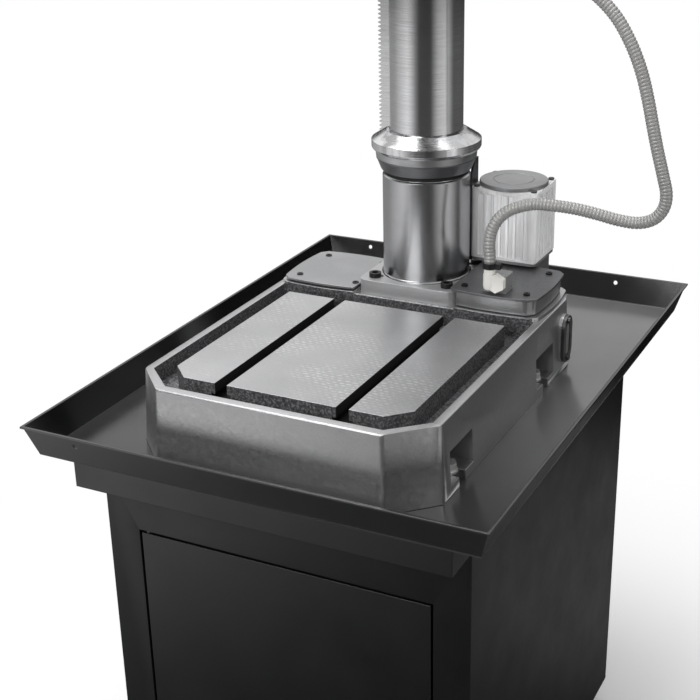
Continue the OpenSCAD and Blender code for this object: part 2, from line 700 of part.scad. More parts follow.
module foot_bolts() color("#17181a") for (x = [-1, 1], y = [-1, 1])
    translate([x * foot_bolt, col_y + y * foot_bolt, 0]) {
        rod_z(foot_bolt_r, [z_deck - 38, z_foot + eps]);
        difference() {
            rod_z(foot_bolt_r * 1.6, [z_foot, z_foot + 12]);
            translate([0, 0, z_foot + 5]) cylinder(r = foot_bolt_r * 0.95, h = 8, $fn = 6);
        }
    }
module column_tube() color("#c7c9cb") translate([0, col_y, 0])
    pipe_z(col_r, col_r - col_wall, [z_deck + 6, z_column]);
module rack_slot(z) {
    span([-rack_r - 0.6, -col_r + 8], [col_y - rack_w / 2 - 0.4, col_y + rack_w / 2 + 0.4], z);
}
module seat_ring() color("#7d8083") translate([0, col_y, 0]) rotate_extrude() polygon([
    [col_r + fit, z_sleeve], [sleeve_r - 3, z_sleeve], [sleeve_r + 1, z_sleeve + 3],
    [sleeve_r + 6, z_ring - seat_h * 0.42], [sleeve_r + 7, z_ring - seat_h * 0.42], [sleeve_r + 9, z_ring - 3],
    [sleeve_r + 7, z_ring], [col_r + fit, z_ring]]);
module rack_ring() color("#d4d6d8") difference() {
    translate([0, col_y, 0]) rotate_extrude() polygon([
        [col_r + fit, z_ring], [sleeve_r + 8.3, z_ring], [sleeve_r + 16.5, z_ring + ring_h * 0.38],
        [sleeve_r + 16.5, z_ring + ring_h * 0.53], [col_r + 10, z_ring_top - 1.5], [col_r + 8, z_ring_top],
        [col_r + fit, z_ring_top]]);
    rack_slot([rack_low, z_ring_top + 1]);
}
module column_rack() color("#bdbfc1") translate([-rack_r + mod, col_y + rack_w / 2, 0])
    rotate([90, 0, 0]) linear_extrude(rack_w) mirror([1, 0])
        polygon(rack_points(-rack_r + mod + col_r + 0.2, rack_low, rack_high, z_crank - pitch / 2));
module column_cap() color("#3a3c3f") difference() {
    translate([0, col_y, 0]) rotate_extrude() polygon([[col_r + fit, z_column - 26], [sleeve_r + 12, z_column - 26],
        [sleeve_r + 12, z_column + 6], [sleeve_r + 6, z_column + 12], [0, z_column + 12], [0, z_column + 0.2],
        [col_r + fit, z_column + 0.2]]);
    rack_slot([z_column - 27, rack_high + 0.2]);
}

// Coolant pump
module pump_flange() color("#3b3d40") difference() {
    translate([pump_cx, pump_cy, z_pump_foot]) rounded(pump_w, pump_d, 10, pump_flange_t);
    translate([pump_cx, pump_cy, 0]) rod_z(pump_shaft_r + run_gap, [z_pump_foot - 1, z_pump + 1]);
}
module pump_body() color("#d2d4d6") difference() {
    translate([pump_cx, pump_cy, z_pump]) rounded(pump_w, pump_d, 5, pump_h);
    translate([pump_cx, pump_cy, 0]) rod_z(pump_d / 2 - 9, [z_pump + 10, z_pump_top - 10]);
    translate([pump_cx, pump_cy, 0]) rod_z(pump_shaft_r + run_gap, [z_pump - 1, z_pump + 11]);
    for (s = [-1, 1]) {
        for (i = [-3 : 3]) translate([pump_cx + i * 12.5, pump_cy + s * pump_d / 2, z_pump + 5])
            span([-4.2, 4.2], [-2.2, 2.2], [0, pump_h - 14]);
        for (i = [-2 : 2]) translate([pump_cx + s * pump_w / 2, pump_cy + i * 14, z_pump + 5])
            span([-2.2, 2.2], [-4.6, 4.6], [0, pump_h - 14]);
    }
    for (x = [-1, 1], y = [-1, 1])
        translate([pump_cx + x * (pump_w / 2 - 7), pump_cy + y * (pump_d / 2 - 7), 0])
            rod_z(2.5 + fit, [z_pump_top - 14, z_pump_top + 1]);
}
module pump_cap() color("#77797c") translate([pump_cx - 2, pump_cy - 2, 0]) difference() {
    rod_z(pump_cap_d / 2, [z_pump_top, z_pump_top + pump_cap_h]);
    difference() {
        rod_z(28, [z_pump_top + pump_cap_h - 1, z_pump_top + pump_cap_h + 1]);
        rod_z(26, [z_pump_top + pump_cap_h - 2, z_pump_top + pump_cap_h + 2]);
    }
}
module pump_screws() color("silver") for (x = [-1, 1], y = [-1, 1])
    translate([pump_cx + x * (pump_w / 2 - 7), pump_cy + y * (pump_d / 2 - 7), 0]) {
        rod_z(2.5, [z_pump_top - 12, z_pump_top + eps]);
        rod_z(4.6, [z_pump_top, z_pump_top + 3]);
    }
module pump_bracket() color("#6d7073") translate([pump_x - 4, 0, 0]) rotate([90, 0, 90]) linear_extrude(4)
    polygon([[col_y + 44.5, z_foot + 10], [col_y + 50, z_foot + 10], [col_y + 50, z_foot + 14],
        [col_y + 72, z_foot + 14], [pump_cy, z_pump + 12],
        [pump_cy, z_pump_top - 8], [col_y + 70, z_pump_top + 2], [col_y + 70, z_sleeve + 12], [col_y + 59, z_sleeve + 12],
        [col_y + 44.5, z_sleeve - 10]]);
module pump_rotor() color("#8d9093") translate([pump_cx, pump_cy, 0]) {
    rod_z(pump_shaft_r, [z_well + 4, z_pump_top - 14]);
    pipe_z(pump_d / 2 - 14, pump_shaft_r - eps, [z_pump + 20, z_pump_top - 24]);
    pipe_z(well_r - 3, pump_shaft_r - eps, [z_well + 4, z_well + 14]);
}
module outlet_block() color("#5f6265") difference() {
    translate([outlet_x, elbow_y + 19.5, z_lid]) rounded(outlet_w, 31, 3, 27);
    translate([elbow_x, 0, z_elbow]) rod_y(hose_bore / 2 - 1, [elbow_y, elbow_y + 20]);
    translate([elbow_x, elbow_y + 20, 0]) rod_z(hose_bore / 2 - 1, [z_lid - 1, z_elbow]);
}
module hose_elbow() color("#ecebe4") difference() {
    union() {
        translate([outlet_x, elbow_y + 4, z_elbow]) rotate([90, 0, 0]) rotate(30)
            cylinder(r = nut_r, h = 9, $fn = 6);
        translate([elbow_x, elbow_y, 0]) rod_z(8.4, [z_elbow, z_hose]);
    }
    translate([elbow_x, elbow_y, 0]) rod_z(hose_bore / 2 - 1, [z_elbow, z_hose + 1]);
    translate([elbow_x, 0, z_elbow]) rod_y(hose_bore / 2 - 1, [elbow_y, elbow_y + 5]);
    span([elbow_x - 9, elbow_x + 9], [elbow_y + 4, elbow_y + 9], [z_elbow - 1, z_lid + 27 + seat]);
    translate([elbow_x, elbow_y, 0]) rod_z(hose_r + 2 + seat, [z_hose, z_hose + 6]);
}
module hose_clamp() color("#2a2b2c") translate([elbow_x, elbow_y, 0]) {
    pipe_z(hose_r + 2, hose_r + 0.3, [z_hose + 1, z_hose + 10]);
    difference() {
        span([hose_r + 1, hose_r + 9], [-5, 5], [z_hose + 1, z_hose + 10]);
        rod_z(hose_r + 1, [z_hose, z_hose + 11]);
    }
}
module coolant_hose() {
    p = smooth(route, 6);
    l = lengths(p);
    total = l[len(l) - 1] - 0.01;
    step = total / hose_ribs;
    sides = 8;
    outer = concat([[0, hose_r - 0.9]],
        [for (i = [0 : hose_ribs - 1]) each [[(i + 0.3) * step, hose_r], [(i + 0.8) * step, hose_r - 1.1]]],
        [[total, hose_r - 0.9]]);
    inner = [for (i = [0 : 60]) [total * i / 60, hose_bore / 2]];
    function way(s) = s < 12 ? unit(route[1] - route[0]) : s > total - 12
        ? unit(route[len(route) - 1] - route[len(route) - 2]) : heading(p, l, s);
    rings = [for (o = concat(outer, inner)) each ring_at(p, l, o[0], o[1], sides, way(o[0]))];
    n = len(outer);
    m = len(inner);
    function band(a, b) = [for (k = [0 : sides - 1]) let (k1 = (k + 1) % sides)
        each [[a * sides + k, b * sides + k, b * sides + k1], [a * sides + k, b * sides + k1, a * sides + k1]]];
    echo(hose_length = total);
    color("#a9abad") polyhedron(rings, concat(
        [for (i = [0 : n - 2]) each band(i, i + 1)],
        [for (i = [0 : m - 2]) each band(n + i + 1, n + i)],
        band(n, 0), band(n - 1, n + m - 1)));
}
module hose_bracket() color("#4d5053") difference() {
    union() {
        translate([0, col_y, 0]) rod_z(col_r + 15, [z_collar, z_collar + collar_h]);
        span([col_r - 4, tap_x[0] + 1], [tap_y[0] + 4, tap_y[1]], [z_collar + 4, z_collar + collar_h - 4]);
        span(tap_x, tap_y, [z_collar, z_collar + collar_h]);
        translate([0, tap_mid_y, z_tap]) rod_x(9, [tap_x[1] - 1, tap_x[1] + ferrule_l]);
    }
    translate([0, col_y, 0]) rod_z(col_r + fit, [z_collar - 1, z_collar + collar_h + 1]);
    rack_slot([z_collar - 1, z_collar + collar_h + 1]);
    translate([0, tap_mid_y, z_tap]) rod_x(hose_bore / 2 - 1, [tap_x[0] + 10, tap_x[1] + ferrule_l + 1]);
    translate([tap_turn_x, tap_mid_y, 0]) rod_z(4 + run_gap, [z_tap + 4, z_collar + collar_h + 1]);
    translate([tap_turn_x, 0, z_tap]) rod_y(4, [tap_y[0] - 1, tap_mid_y]);
}
module tap_lever() color("#b5391f") translate([tap_turn_x, tap_mid_y, z_collar + collar_h]) {
    rod_z(4, [-9, seat + 2]);
    rod_z(8, [seat, seat + 6]);
    span([0, 34], [-3.5, 3.5], [seat + 1, seat + 5]);
}
module coolant_nozzle() color("#d8731e") {
    p = [[tap_turn_x, tap_y[0] - 10, z_tap], [tap_turn_x - 18, tap_y[0] - 36, z_tap], [80, 40, z_tap - 1],
        [64, -5, z_tap - 2], [50, -50, z_tap - 4]];
    translate([tap_turn_x, tap_y[0], z_tap]) rod_y(6, [-10, 0]);
    for (i = [0 : 3]) {
        translate(p[i]) sphere(7);
        swept(p[i], p[i + 1], 5);
    }
    translate(p[4]) sphere(6);
}
module swept(a, b, r) {
    d = b - a;
    translate(a) rotate([0, acos(d[2] / norm(d)), atan2(d[1], d[0])]) cylinder(r = r, h = norm(d));
}

// Head
module head_casting() color("#5a6066") difference() {
    union() {
        span([-head_w / 2, head_w / 2], [head_front, head_back], [z_head, z_head_top]);
        span([-60, 60], [head_back - 1, col_y], [z_clamp, z_clamp + clamp_h]);
        translate([0, col_y, 0]) rod_z(clamp_r, [z_clamp, z_clamp + clamp_h]);
        span([crank_x - 28, -col_r], [col_y - 30, col_y + 30], [z_crank - 30, z_crank + 30]);
        span([col_r, clamp_x + 17], [col_y - 26, col_y + 26], [z_clamp_lever - 45, z_clamp_lever + 45]);
        translate([0, feed_y, z_feed]) rod_x(32, [head_w / 2 - 1, head_w / 2 + 20]);
    }
    translate([0, col_y, 0]) rod_z(col_r + run_gap, [z_clamp - 1, z_clamp + clamp_h + 1]);
    rack_slot([z_clamp - 1, z_clamp + clamp_h + 1]);
    span([col_r - 5, clamp_x + 18], [col_y - 1.5, col_y + 1.5], [z_clamp - 1, z_clamp + clamp_h + 1]);
    translate([0, sp_y, 0]) rod_z(quill_r + run_gap, [z_head - 1, z_quill_top + 6]);
    translate([0, sp_y, 0]) rod_z(20, [z_quill_top, z_block - 15]);
    translate([0, sp_y, 0]) rod_z(30 + fit, [z_block - 16, z_block + 1]);
    translate([0, lay_y, 0]) rod_z(19 + fit, [z_block - 16, z_block + 1]);
    span([-head_w / 2 + head_wall, head_w / 2 - head_wall], [head_front + 34, head_back - head_wall],
        [z_block, z_roof]);
    for (s = [-1, 1]) span(s < 0 ? [-head_w / 2 + head_wall, -56] : [56, head_w / 2 - head_wall],
        [head_front + 34, head_back - head_wall], [z_head + head_wall, z_block - 20]);
    span([-57, 57], [feed_y + 40, head_back - head_wall], [z_head + head_wall, z_block - 20]);
    translate([0, sp_y, 0]) rod_z(30 + fit, [z_roof - 1, z_roof + 16]);
    translate([0, sp_y, 0]) rod_z(13, [z_roof, z_head_top - 7]);
    translate([0, lay_y, 0]) rod_z(19 + fit, [z_roof - 1, z_roof + 16]);
    translate([0, motor_y, 0]) rod_z(26, [z_roof - 1, z_head_top + 1]);
    translate([0, feed_y, z_feed]) rod_x(9 + run_gap, [-80, head_w / 2 + 21]);
    translate([0, feed_y, z_feed]) rod_x(feed_r + mod + 1.5, [-13, 13]);
    translate([crank_x, 0, z_crank]) rod_y(8 + run_gap, [col_y - 26, col_y + 31]);
    translate([crank_x, 0, z_crank]) rod_y(crank_r + mod + 1, [col_y - 13, col_y + 13]);
    translate([clamp_x, 0, z_clamp_lever]) rod_y(6 + run_gap, [col_y - 27, col_y + 18]);
    for (s = [-1, 1]) translate([s * lever_x, 0, z_lever]) rod_y(7 + run_gap, [head_front - 1, head_front + 24]);
    head_screw_places() rod_y(2.5 + fit, [head_front - 1, head_front + 16]);
}
module head_screw_places() {
    for (x = [-1, 1], z = [z_head + 108, z_head + 228, z_head + 336]) translate([x * 84, 0, z]) children();
}
module head_cover() color("#8b9196") difference() {
    span([-head_w / 2 + 6, head_w / 2 - 6], [cover_face, head_front], [z_head + 98, z_head_top - 6]);
    for (s = [-1, 1]) translate([s * lever_x, 0, z_lever]) rod_y(7 + run_gap, [cover_face - 1, head_front + 1]);
    head_screw_places() rod_y(2.8, [cover_face - 1, head_front + 1]);
}
module head_screws() color("#1c1d1f") head_screw_places() {
    rod_y(2.5, [cover_face - eps, head_front + 14]);
    rod_y(5, [cover_face - 4, cover_face]);
}
module motor_housing() color("#5a6066") translate([0, motor_y, 0]) difference() {
    union() {
        rod_z(motor_d / 2 - 6, [z_motor, z_cowl]);
        rod_z(motor_d / 2, [z_motor, z_motor + 12]);
        rod_z(motor_d / 2, [z_cowl - 8, z_cowl]);
        for (i = [0 : 23]) rotate(i * 15) span([0, motor_d / 2], [-1.5, 1.5], [z_motor + 11, z_cowl - 7]);
    }
    rod_z(motor_d / 2 - 14, [z_motor + 12, z_cowl - 10]);
    rod_z(motor_shaft_r + run_gap, [z_motor - 1, z_cowl + 1]);
}
module motor_cowl() color("#2b2d30") translate([0, motor_y, 0]) difference() {
    rod_z(motor_d / 2, [z_cowl, z_cowl + cowl_h]);
    rod_z(motor_d / 2 - 3, [z_cowl - 1, z_cowl + cowl_h - 3]);
    for (r = [22, 40, 58], i = [0 : r / 2 - 1]) rotate(i * 720 / r) translate([r, 0, 0])
        rod_z(4, [z_cowl + cowl_h - 4, z_cowl + cowl_h + 1]);
}
module terminal_box() color("#2b2d30") difference() {
    span([-motor_d / 2 - 38, -motor_d / 2 + 14], [motor_y - 38, motor_y + 38], [z_motor + 50, z_motor + 125]);
    translate([0, motor_y, 0]) rod_z(motor_d / 2 + fit, [z_motor + 49, z_motor + 126]);
}
module gear_bearings() color("silver") {
    for (z = [z_block - 16, z_roof]) {
        translate([0, sp_y, 0]) pipe_z(30, 16 + run_gap, [z, z + 16]);
        translate([0, lay_y, 0]) pipe_z(19, 10 + run_gap, [z, z + 16]);
    }
}
module switch_panel() color("#33363a") difference() {
    span(panel_x, panel_y, panel_z);
    for (z = [z_start, z_stop]) translate([button_x, 0, z]) rod_y(9 + run_gap, [panel_y[0] - 1, panel_y[0] + 20]);
}
module start_button() color("green") translate([button_x, 0, z_start]) {
    rod_y(9, [panel_y[0] - 6, panel_y[0] + 12]);
}
module stop_button() color("red") translate([button_x, 0, z_stop]) {
    rod_y(9, [panel_y[0] - 8, panel_y[0] + 12]);
    rod_y(19, [panel_y[0] - 18, panel_y[0] - 8 + eps]);
}
module motor_rotor() color("#9a9da0") translate([0, motor_y, 0]) {
    rod_z(motor_shaft_r, [z_high_gear - 4, z_cowl + cowl_h - 12]);
    pipe_z(motor_d / 2 - 20, motor_shaft_r - eps, [z_motor + 22, z_cowl - 20]);
    difference() {
        rod_z(motor_d / 2 - 8, [z_cowl + 8, z_cowl + 26]);
        for (i = [0 : 7]) rotate(i * 45) span([motor_shaft_r + 8, motor_d], [4, motor_d], [z_cowl + 11, z_cowl + 27]);
    }
}
module motor_pinion() color("#a7a294") translate([0, motor_y, z_high_gear])
    gear(motor_teeth, motor_shaft_r + fit, gear_t + 2);
module layshaft() color("#9a9da0") translate([0, lay_y, 0]) rod_z(10, [z_block - 15, z_roof + 14]);
module layshaft_gears() color("#a7a294") {
    translate([0, lay_y, z_high_gear + 1]) gear(lay_big, 10 + fit, gear_t);
    translate([0, lay_y, z_low_gear]) gear(lay_small, 10 + fit, gear_t + 2);
}
module drive_sleeve() color("#9a9da0") translate([0, sp_y, 0])
    pipe_z(16, 11 + run_gap, [z_block - 15, z_roof + 14]);
module sleeve_gear() color("#a7a294") translate([0, sp_y, z_low_gear + 1]) gear(sleeve_teeth, 16 + fit, gear_t);

// Quill and spindle
module quill() color("#c7c9cb") difference() {
    union() {
        difference() {
            translate([0, sp_y, 0]) rod_z(quill_r, [z_quill, z_quill_top]);
            span([-11.4, 11.4], [sp_y + quill_r - 2.25 * mod, sp_y + quill_r + 1],
                [quill_rack_low, z_quill_top + 1]);
        }
        intersection() {
            translate([0, sp_y, 0]) rod_z(quill_r, [z_quill, z_quill_top]);
            translate([-11.4, sp_y + quill_r - mod, 0]) rotate([90, 0, 90]) linear_extrude(22.8)
                polygon(rack_points(-2.25 * mod, quill_rack_low, z_quill_top, z_feed + pitch / 2));
        }
    }
    translate([0, sp_y, 0]) rod_z(spindle_r + 9, [z_quill - 1, z_quill_top + 1]);
    translate([0, sp_y, 0]) rod_z(28 + fit, [z_quill - 1, z_quill + 20]);
    translate([0, sp_y, 0]) rod_z(28 + fit, [z_quill_top - 18, z_quill_top + 1]);
}
module quill_bearings() color("silver") translate([0, sp_y, 0]) {
    pipe_z(28, spindle_r + run_gap, [z_quill + 2, z_quill + 20]);
    pipe_z(28, spindle_r + run_gap, [z_quill_top - 18, z_quill_top - 2]);
}
module spindle() color("#d4d6d8") translate([0, sp_y, 0]) difference() {
    union() {
        rod_z(22, [z_quill - 50, z_quill - 4]);
        rod_z(spindle_r + 2, [z_quill - 5, z_quill + 1.6]);
        rod_z(spindle_r, [z_quill, z_quill_top]);
        rod_z(11, [z_quill_top - 1, z_head_top - 12]);
    }
    translate([0, 0, z_quill - 50.01]) cylinder(r1 = 11.9, r2 = 9.9, h = 81);
    span([-30, 30], [-4, 4], [z_quill - 34, z_quill - 12]);
}

// Controls
module feed_shaft() color("#9a9da0") translate([0, feed_y, z_feed]) {
    rod_x(9, [-78, head_w / 2 + 24]);
    rod_x(hub_r, [head_w / 2 + 20 + seat, hub_x + 18]);
    translate([-11, 0, 0]) rotate([0, 90, 0]) gear(feed_teeth, 9 - eps, 22);
}
module spoke_places() {
    for (i = [0 : 2]) translate([hub_x, feed_y, z_feed]) rotate([i * 120 + 30, 0, 0])
        rotate([0, spoke_tilt, 0]) children();
}
module feed_spokes() color("#d4d6d8") spoke_places() rod_z(spoke_r, [spoke_from, spoke_l]);
module feed_knobs() color("#131415") spoke_places() difference() {
    translate([0, 0, spoke_l + knob_r / 4]) sphere(knob_r);
    rod_z(spoke_r + fit, [spoke_l - knob_r, spoke_l + seat]);
}
module speed_lever(tilt) {
    rod_y(7, [cover_face - 4, head_front + 22]);
    rod_y(20, [cover_face - 20, cover_face - seat]);
    rotate([0, tilt, 0]) {
        translate([0, cover_face - 12, 0]) rod_z(5, [0, lever_l]);
        translate([0, cover_face - 12, lever_l + 8]) sphere(10);
    }
}
module left_speed_lever() color("#1b1c1e") translate([-lever_x, 0, z_lever]) speed_lever(-20);
module right_speed_lever() color("#1b1c1e") translate([lever_x, 0, z_lever]) speed_lever(20);
module elevating_crank() color("#3a3c3f") translate([crank_x, 0, z_crank]) {
    rod_y(8, [col_y - 25, clamp_r + col_y + 16]);
    translate([0, col_y - 11, 0]) rotate([-90, 0, 0]) gear(crank_teeth, 8 - eps, 22);
    rod_y(15, [clamp_r + col_y + 4, clamp_r + col_y + 18]);
    rotate([0, 200, 0]) {
        span([-9, 9], [clamp_r + col_y + 6, clamp_r + col_y + 16], [0, crank_l]);
        translate([0, 0, crank_l]) rod_y(9, [clamp_r + col_y + 6, clamp_r + col_y + 16]);
        translate([0, 0, crank_l]) rod_y(11, [clamp_r + col_y + 16 - eps, clamp_r + col_y + 86]);
    }
}
module clamp_lever() color("#1b1c1e") translate([clamp_x, 0, z_clamp_lever]) {
    rod_y(6, [col_y - 44, col_y + 16]);
    rod_y(11, [col_y - 44, col_y - 26.4]);
    rotate([0, 30, 0]) {
        translate([0, col_y - 35, 0]) rod_z(5, [0, clamp_l]);
        translate([0, col_y - 35, clamp_l]) sphere(9);
    }
}

cabinet();
hinge_pins();
plinth();
chip_tray();
base_casting();
anchor_bolts();
left_cover();
right_cover();
cover_gaskets();
cover_screws();
sight_gauge();
sight_glass();
column_foot();
foot_bolts();
column_tube();
seat_ring();
rack_ring();
column_rack();
column_cap();
pump_flange();
pump_body();
pump_cap();
pump_screws();
pump_bracket();
outlet_block();
hose_elbow();
hose_clamp();
coolant_hose();
hose_bracket();
coolant_nozzle();
cabinet_door();
door_latch();
pump_rotor();
tap_lever();
head_casting();
head_cover();
head_screws();
motor_housing();
motor_cowl();
terminal_box();
gear_bearings();
switch_panel();
motor_rotor();
motor_pinion();
layshaft();
layshaft_gears();
drive_sleeve();
sleeve_gear();
quill();
quill_bearings();
spindle();
feed_shaft();
feed_spokes();
feed_knobs();
left_speed_lever();
right_speed_lever();
elevating_crank();
clamp_lever();
start_button();
stop_button();
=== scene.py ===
import json
import math

import bmesh
import bpy
from mathutils import Matrix, Vector

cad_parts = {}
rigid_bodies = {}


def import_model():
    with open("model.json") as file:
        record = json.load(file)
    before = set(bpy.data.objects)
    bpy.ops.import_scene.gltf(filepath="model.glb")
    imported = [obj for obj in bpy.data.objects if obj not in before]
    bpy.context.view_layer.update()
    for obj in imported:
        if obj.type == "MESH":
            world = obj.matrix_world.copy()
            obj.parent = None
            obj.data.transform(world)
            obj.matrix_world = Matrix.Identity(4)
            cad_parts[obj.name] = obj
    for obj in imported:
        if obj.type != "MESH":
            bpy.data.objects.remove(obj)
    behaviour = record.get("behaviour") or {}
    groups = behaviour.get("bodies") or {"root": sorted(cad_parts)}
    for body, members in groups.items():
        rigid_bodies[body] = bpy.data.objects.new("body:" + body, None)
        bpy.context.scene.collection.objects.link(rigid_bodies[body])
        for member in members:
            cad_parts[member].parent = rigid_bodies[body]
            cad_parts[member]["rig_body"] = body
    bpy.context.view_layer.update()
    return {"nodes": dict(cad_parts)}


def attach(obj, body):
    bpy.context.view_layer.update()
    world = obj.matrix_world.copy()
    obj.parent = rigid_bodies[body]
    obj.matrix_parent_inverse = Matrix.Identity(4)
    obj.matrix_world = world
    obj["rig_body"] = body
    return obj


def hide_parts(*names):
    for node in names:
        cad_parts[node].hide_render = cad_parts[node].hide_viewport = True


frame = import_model()
cadNodes = frame["nodes"]
scene = bpy.context.scene
scene.view_settings.view_transform = "Standard"
mm = 0.001
weld = 0.01 * mm  # points closer than this are one point
print("frame loaded:", len(cadNodes), "nodes")

# Camera, fitted to the straight edges of the tray, the base and the cabinet
photoCamera = dict(place=(0.84587, -1.74308, 1.59002), turn=27.31, tilt=22.88, roll=-1.35, lens=71.39,
                   sensor=36)


def setCamera(view):
    turn, tilt, roll = (math.radians(view[k]) for k in ("turn", "tilt", "roll"))
    right = Vector((math.cos(turn), math.sin(turn), 0))
    back = Vector((math.sin(turn) * math.cos(tilt), -math.cos(turn) * math.cos(tilt), math.sin(tilt)))
    up = back.cross(right)
    x = math.cos(roll) * right + math.sin(roll) * up
    y = math.cos(roll) * up - math.sin(roll) * right
    data = bpy.data.cameras.new("photoCamera")
    data.lens, data.sensor_width, data.sensor_fit = view["lens"], view["sensor"], "HORIZONTAL"
    rig = bpy.data.objects.new("photoCamera", data)
    rig.matrix_world = Matrix.Translation(view["place"]) @ Matrix((x, y, back)).transposed().to_4x4()
    scene.collection.objects.link(rig)
    scene.camera = rig


setCamera(photoCamera)


# A finish: one material and the short names for wiring its nodes
class Finish:
    def __init__(self, name, colour, rough, metal=0.0, **sockets):
        self.material = bpy.data.materials.new(name)
        self.material.use_nodes = True
        self.tree = self.material.node_tree
        self.shader = self.tree.nodes["Principled BSDF"]
        self.set("Base Color", (*colour, 1))
        self.set("Roughness", rough)
        self.set("Metallic", metal)
        for socket, value in sockets.items():
            self.set(socket, value)
        self.place = self.add("ShaderNodeTexCoord").outputs["Object"]
        self.colour, self.rough = (*colour, 1), rough

    def add(self, kind, **settings):
        made = self.tree.nodes.new(kind)
        for key, value in settings.items():
            setattr(made, key, value)
        return made

    def join(self, source, socket):
        if isinstance(source, bpy.types.NodeSocket):
            self.tree.links.new(source, socket)
        else:
            socket.default_value = source

    def set(self, socket, value):
        self.join(value, self.shader.inputs[socket])

    def stretched(self, scale):
        made = self.add("ShaderNodeMapping")
        self.join(self.place, made.inputs["Vector"])
        made.inputs["Scale"].default_value = scale
        return made.outputs["Vector"]

    def noise(self, scale, detail=3.0, vector=None, rough=0.55):
        made = self.add("ShaderNodeTexNoise")
        self.join(self.place if vector is None else vector, made.inputs["Vector"])
        for key, value in (("Scale", scale), ("Detail", detail), ("Roughness", rough)):
            made.inputs[key].default_value = value
        return made.outputs["Fac"]

    def softCells(self, scale):
        made = self.add("ShaderNodeTexVoronoi", feature="SMOOTH_F1")
        self.join(self.place, made.inputs["Vector"])
        made.inputs["Scale"].default_value = scale
        return made.outputs["Distance"]

    def fit(self, value, low, high, outLow=0.0, outHigh=1.0, smooth=False):
        made = self.add("ShaderNodeMapRange", interpolation_type="SMOOTHSTEP" if smooth else "LINEAR")
        for key, item in (("Value", value), ("From Min", low), ("From Max", high), ("To Min", outLow),
                          ("To Max", outHigh)):
            self.join(item, made.inputs[key])
        return made.outputs["Result"]

    def maths(self, operation, a, b=0.0):
        made = self.add("ShaderNodeMath", operation=operation)
        self.join(a, made.inputs[0])
        self.join(b, made.inputs[1])
        return made.outputs["Value"]

    def plus(self, a, b):
        return self.maths("ADD", a, b)

    def minus(self, a, b):
        return self.maths("SUBTRACT", a, b)

    def times(self, a, b):
        return self.maths("MULTIPLY", a, b)

    # The colour sockets of a mix node are its inputs 6 and 7 and its output 2
    def mix(self, amount, a, b):
        made = self.add("ShaderNodeMix", data_type="RGBA")
        for socket, value in (("Factor", amount), (6, a), (7, b)):
            self.join(value, made.inputs[socket])
        return made.outputs[2]

    def split(self):
        made = self.add("ShaderNodeSeparateXYZ")
        self.join(self.place, made.inputs["Vector"])
        return made.outputs["X"], made.outputs["Y"], made.outputs["Z"]

    def bump(self, height, distance):
        made = self.add("ShaderNodeBump")
        made.inputs["Distance"].default_value = distance
        self.join(height, made.inputs["Height"])
        links = self.shader.inputs["Normal"].links
        if links:
            self.tree.links.new(links[0].from_socket, made.inputs["Normal"])
        self.set("Normal", made.outputs["Normal"])

    def edges(self, radius, low=0.02, high=0.25, samples=6):
        bevel = self.add("ShaderNodeBevel", samples=samples)
        bevel.inputs["Radius"].default_value = radius
        flat = self.add("ShaderNodeNewGeometry").outputs["Normal"]
        dot = self.add("ShaderNodeVectorMath", operation="DOT_PRODUCT")
        self.join(bevel.outputs["Normal"], dot.inputs[0])
        self.join(flat, dot.inputs[1])
        return self.fit(self.minus(1.0, dot.outputs["Value"]), low, high)

    def tint(self, amount, colour):
        self.colour = self.mix(amount, self.colour, (*colour, 1))
        self.set("Base Color", self.colour)

    def roughen(self, amount, rough):
        self.rough = self.fit(amount, 0.0, 1.0, self.rough, rough)
        self.set("Roughness", self.rough)


def shaded(colour, factor):
    return tuple(min(1.0, c * factor) for c in colour)


# Where noise turns from one tone to the other, and from the smoother to the rougher
toneRange, roughRange = (0.35, 0.7), (0.3, 0.7)

# Paint over a casting: mottled, with a fine grain and paler edges, partly rubbed bare and partly a painted
# highlight
castSkin = dict(specks=1.7, speckRange=(0.55, 0.75), speckShow=0.35, speckShade=0.6, wearAndHighlightScale=60,
                wearAndHighlightRange=(0.35, 0.6), wearAndHighlightLeast=0.15, scuffs=0.5, rougher=0.14, swells=0.12, swellHeight=3.5)


def castPaint(name, look):
    look = {**castSkin, **look}
    colour, grain = look["colour"], look["grain"]
    made = Finish(name, colour, look["rough"], look["metal"])
    made.tint(made.fit(made.noise(look["mottle"], 5), *toneRange), shaded(colour, look["vary"]))
    specks = made.fit(made.noise(grain * look["specks"], 2), *look["speckRange"], 0, look["speckShow"])
    made.tint(specks, shaded(colour, look["speckShade"]))
    # Paler edges: part wear, part painted highlight along the rims
    wearAndHighlight = made.fit(made.noise(look["wearAndHighlightScale"], 4), *look["wearAndHighlightRange"], look["wearAndHighlightLeast"], 1.0)
    made.tint(made.times(made.edges(look["edge"]), wearAndHighlight), look["bare"])
    scuffs = made.fit(made.noise(grain * look["scuffs"], 4), *roughRange)
    made.roughen(scuffs, look["rough"] + look["rougher"])
    made.bump(made.noise(grain, 4), look["lump"])
    made.bump(made.noise(grain * look["swells"], 3), look["lump"] * look["swellHeight"])
    return made


# Powder coat on sheet steel: black, with a fine orange-peel skin and paler edges, partly rubbed and partly a
# painted highlight
coatSkin = dict(mottle=9, mottleShow=0.6, mottleShade=1.5, scuffs=14, scuffRange=(0.3, 0.75), rougher=0.1,
                orangePeel=900, swells=26, swellHeight=6)


def powderCoat(name, look):
    look = {**coatSkin, **look}
    colour = look["colour"]
    made = Finish(name, colour, look["rough"], IOR=look["ior"])
    mottle = made.fit(made.noise(look["mottle"], 5), *toneRange, 0, look["mottleShow"])
    made.tint(mottle, shaded(colour, look["mottleShade"]))
    scuffs = made.fit(made.noise(look["scuffs"], 6), *look["scuffRange"])
    made.roughen(scuffs, look["rough"] + look["rougher"])
    # Paler edges: part wear, part painted highlight
    made.tint(made.edges(look["edge"]), shaded(colour, look["rub"]))
    made.bump(made.noise(look["orangePeel"], 2), look["peel"])
    made.bump(made.noise(look["swells"], 3), look["peel"] * look["swellHeight"])
    return made


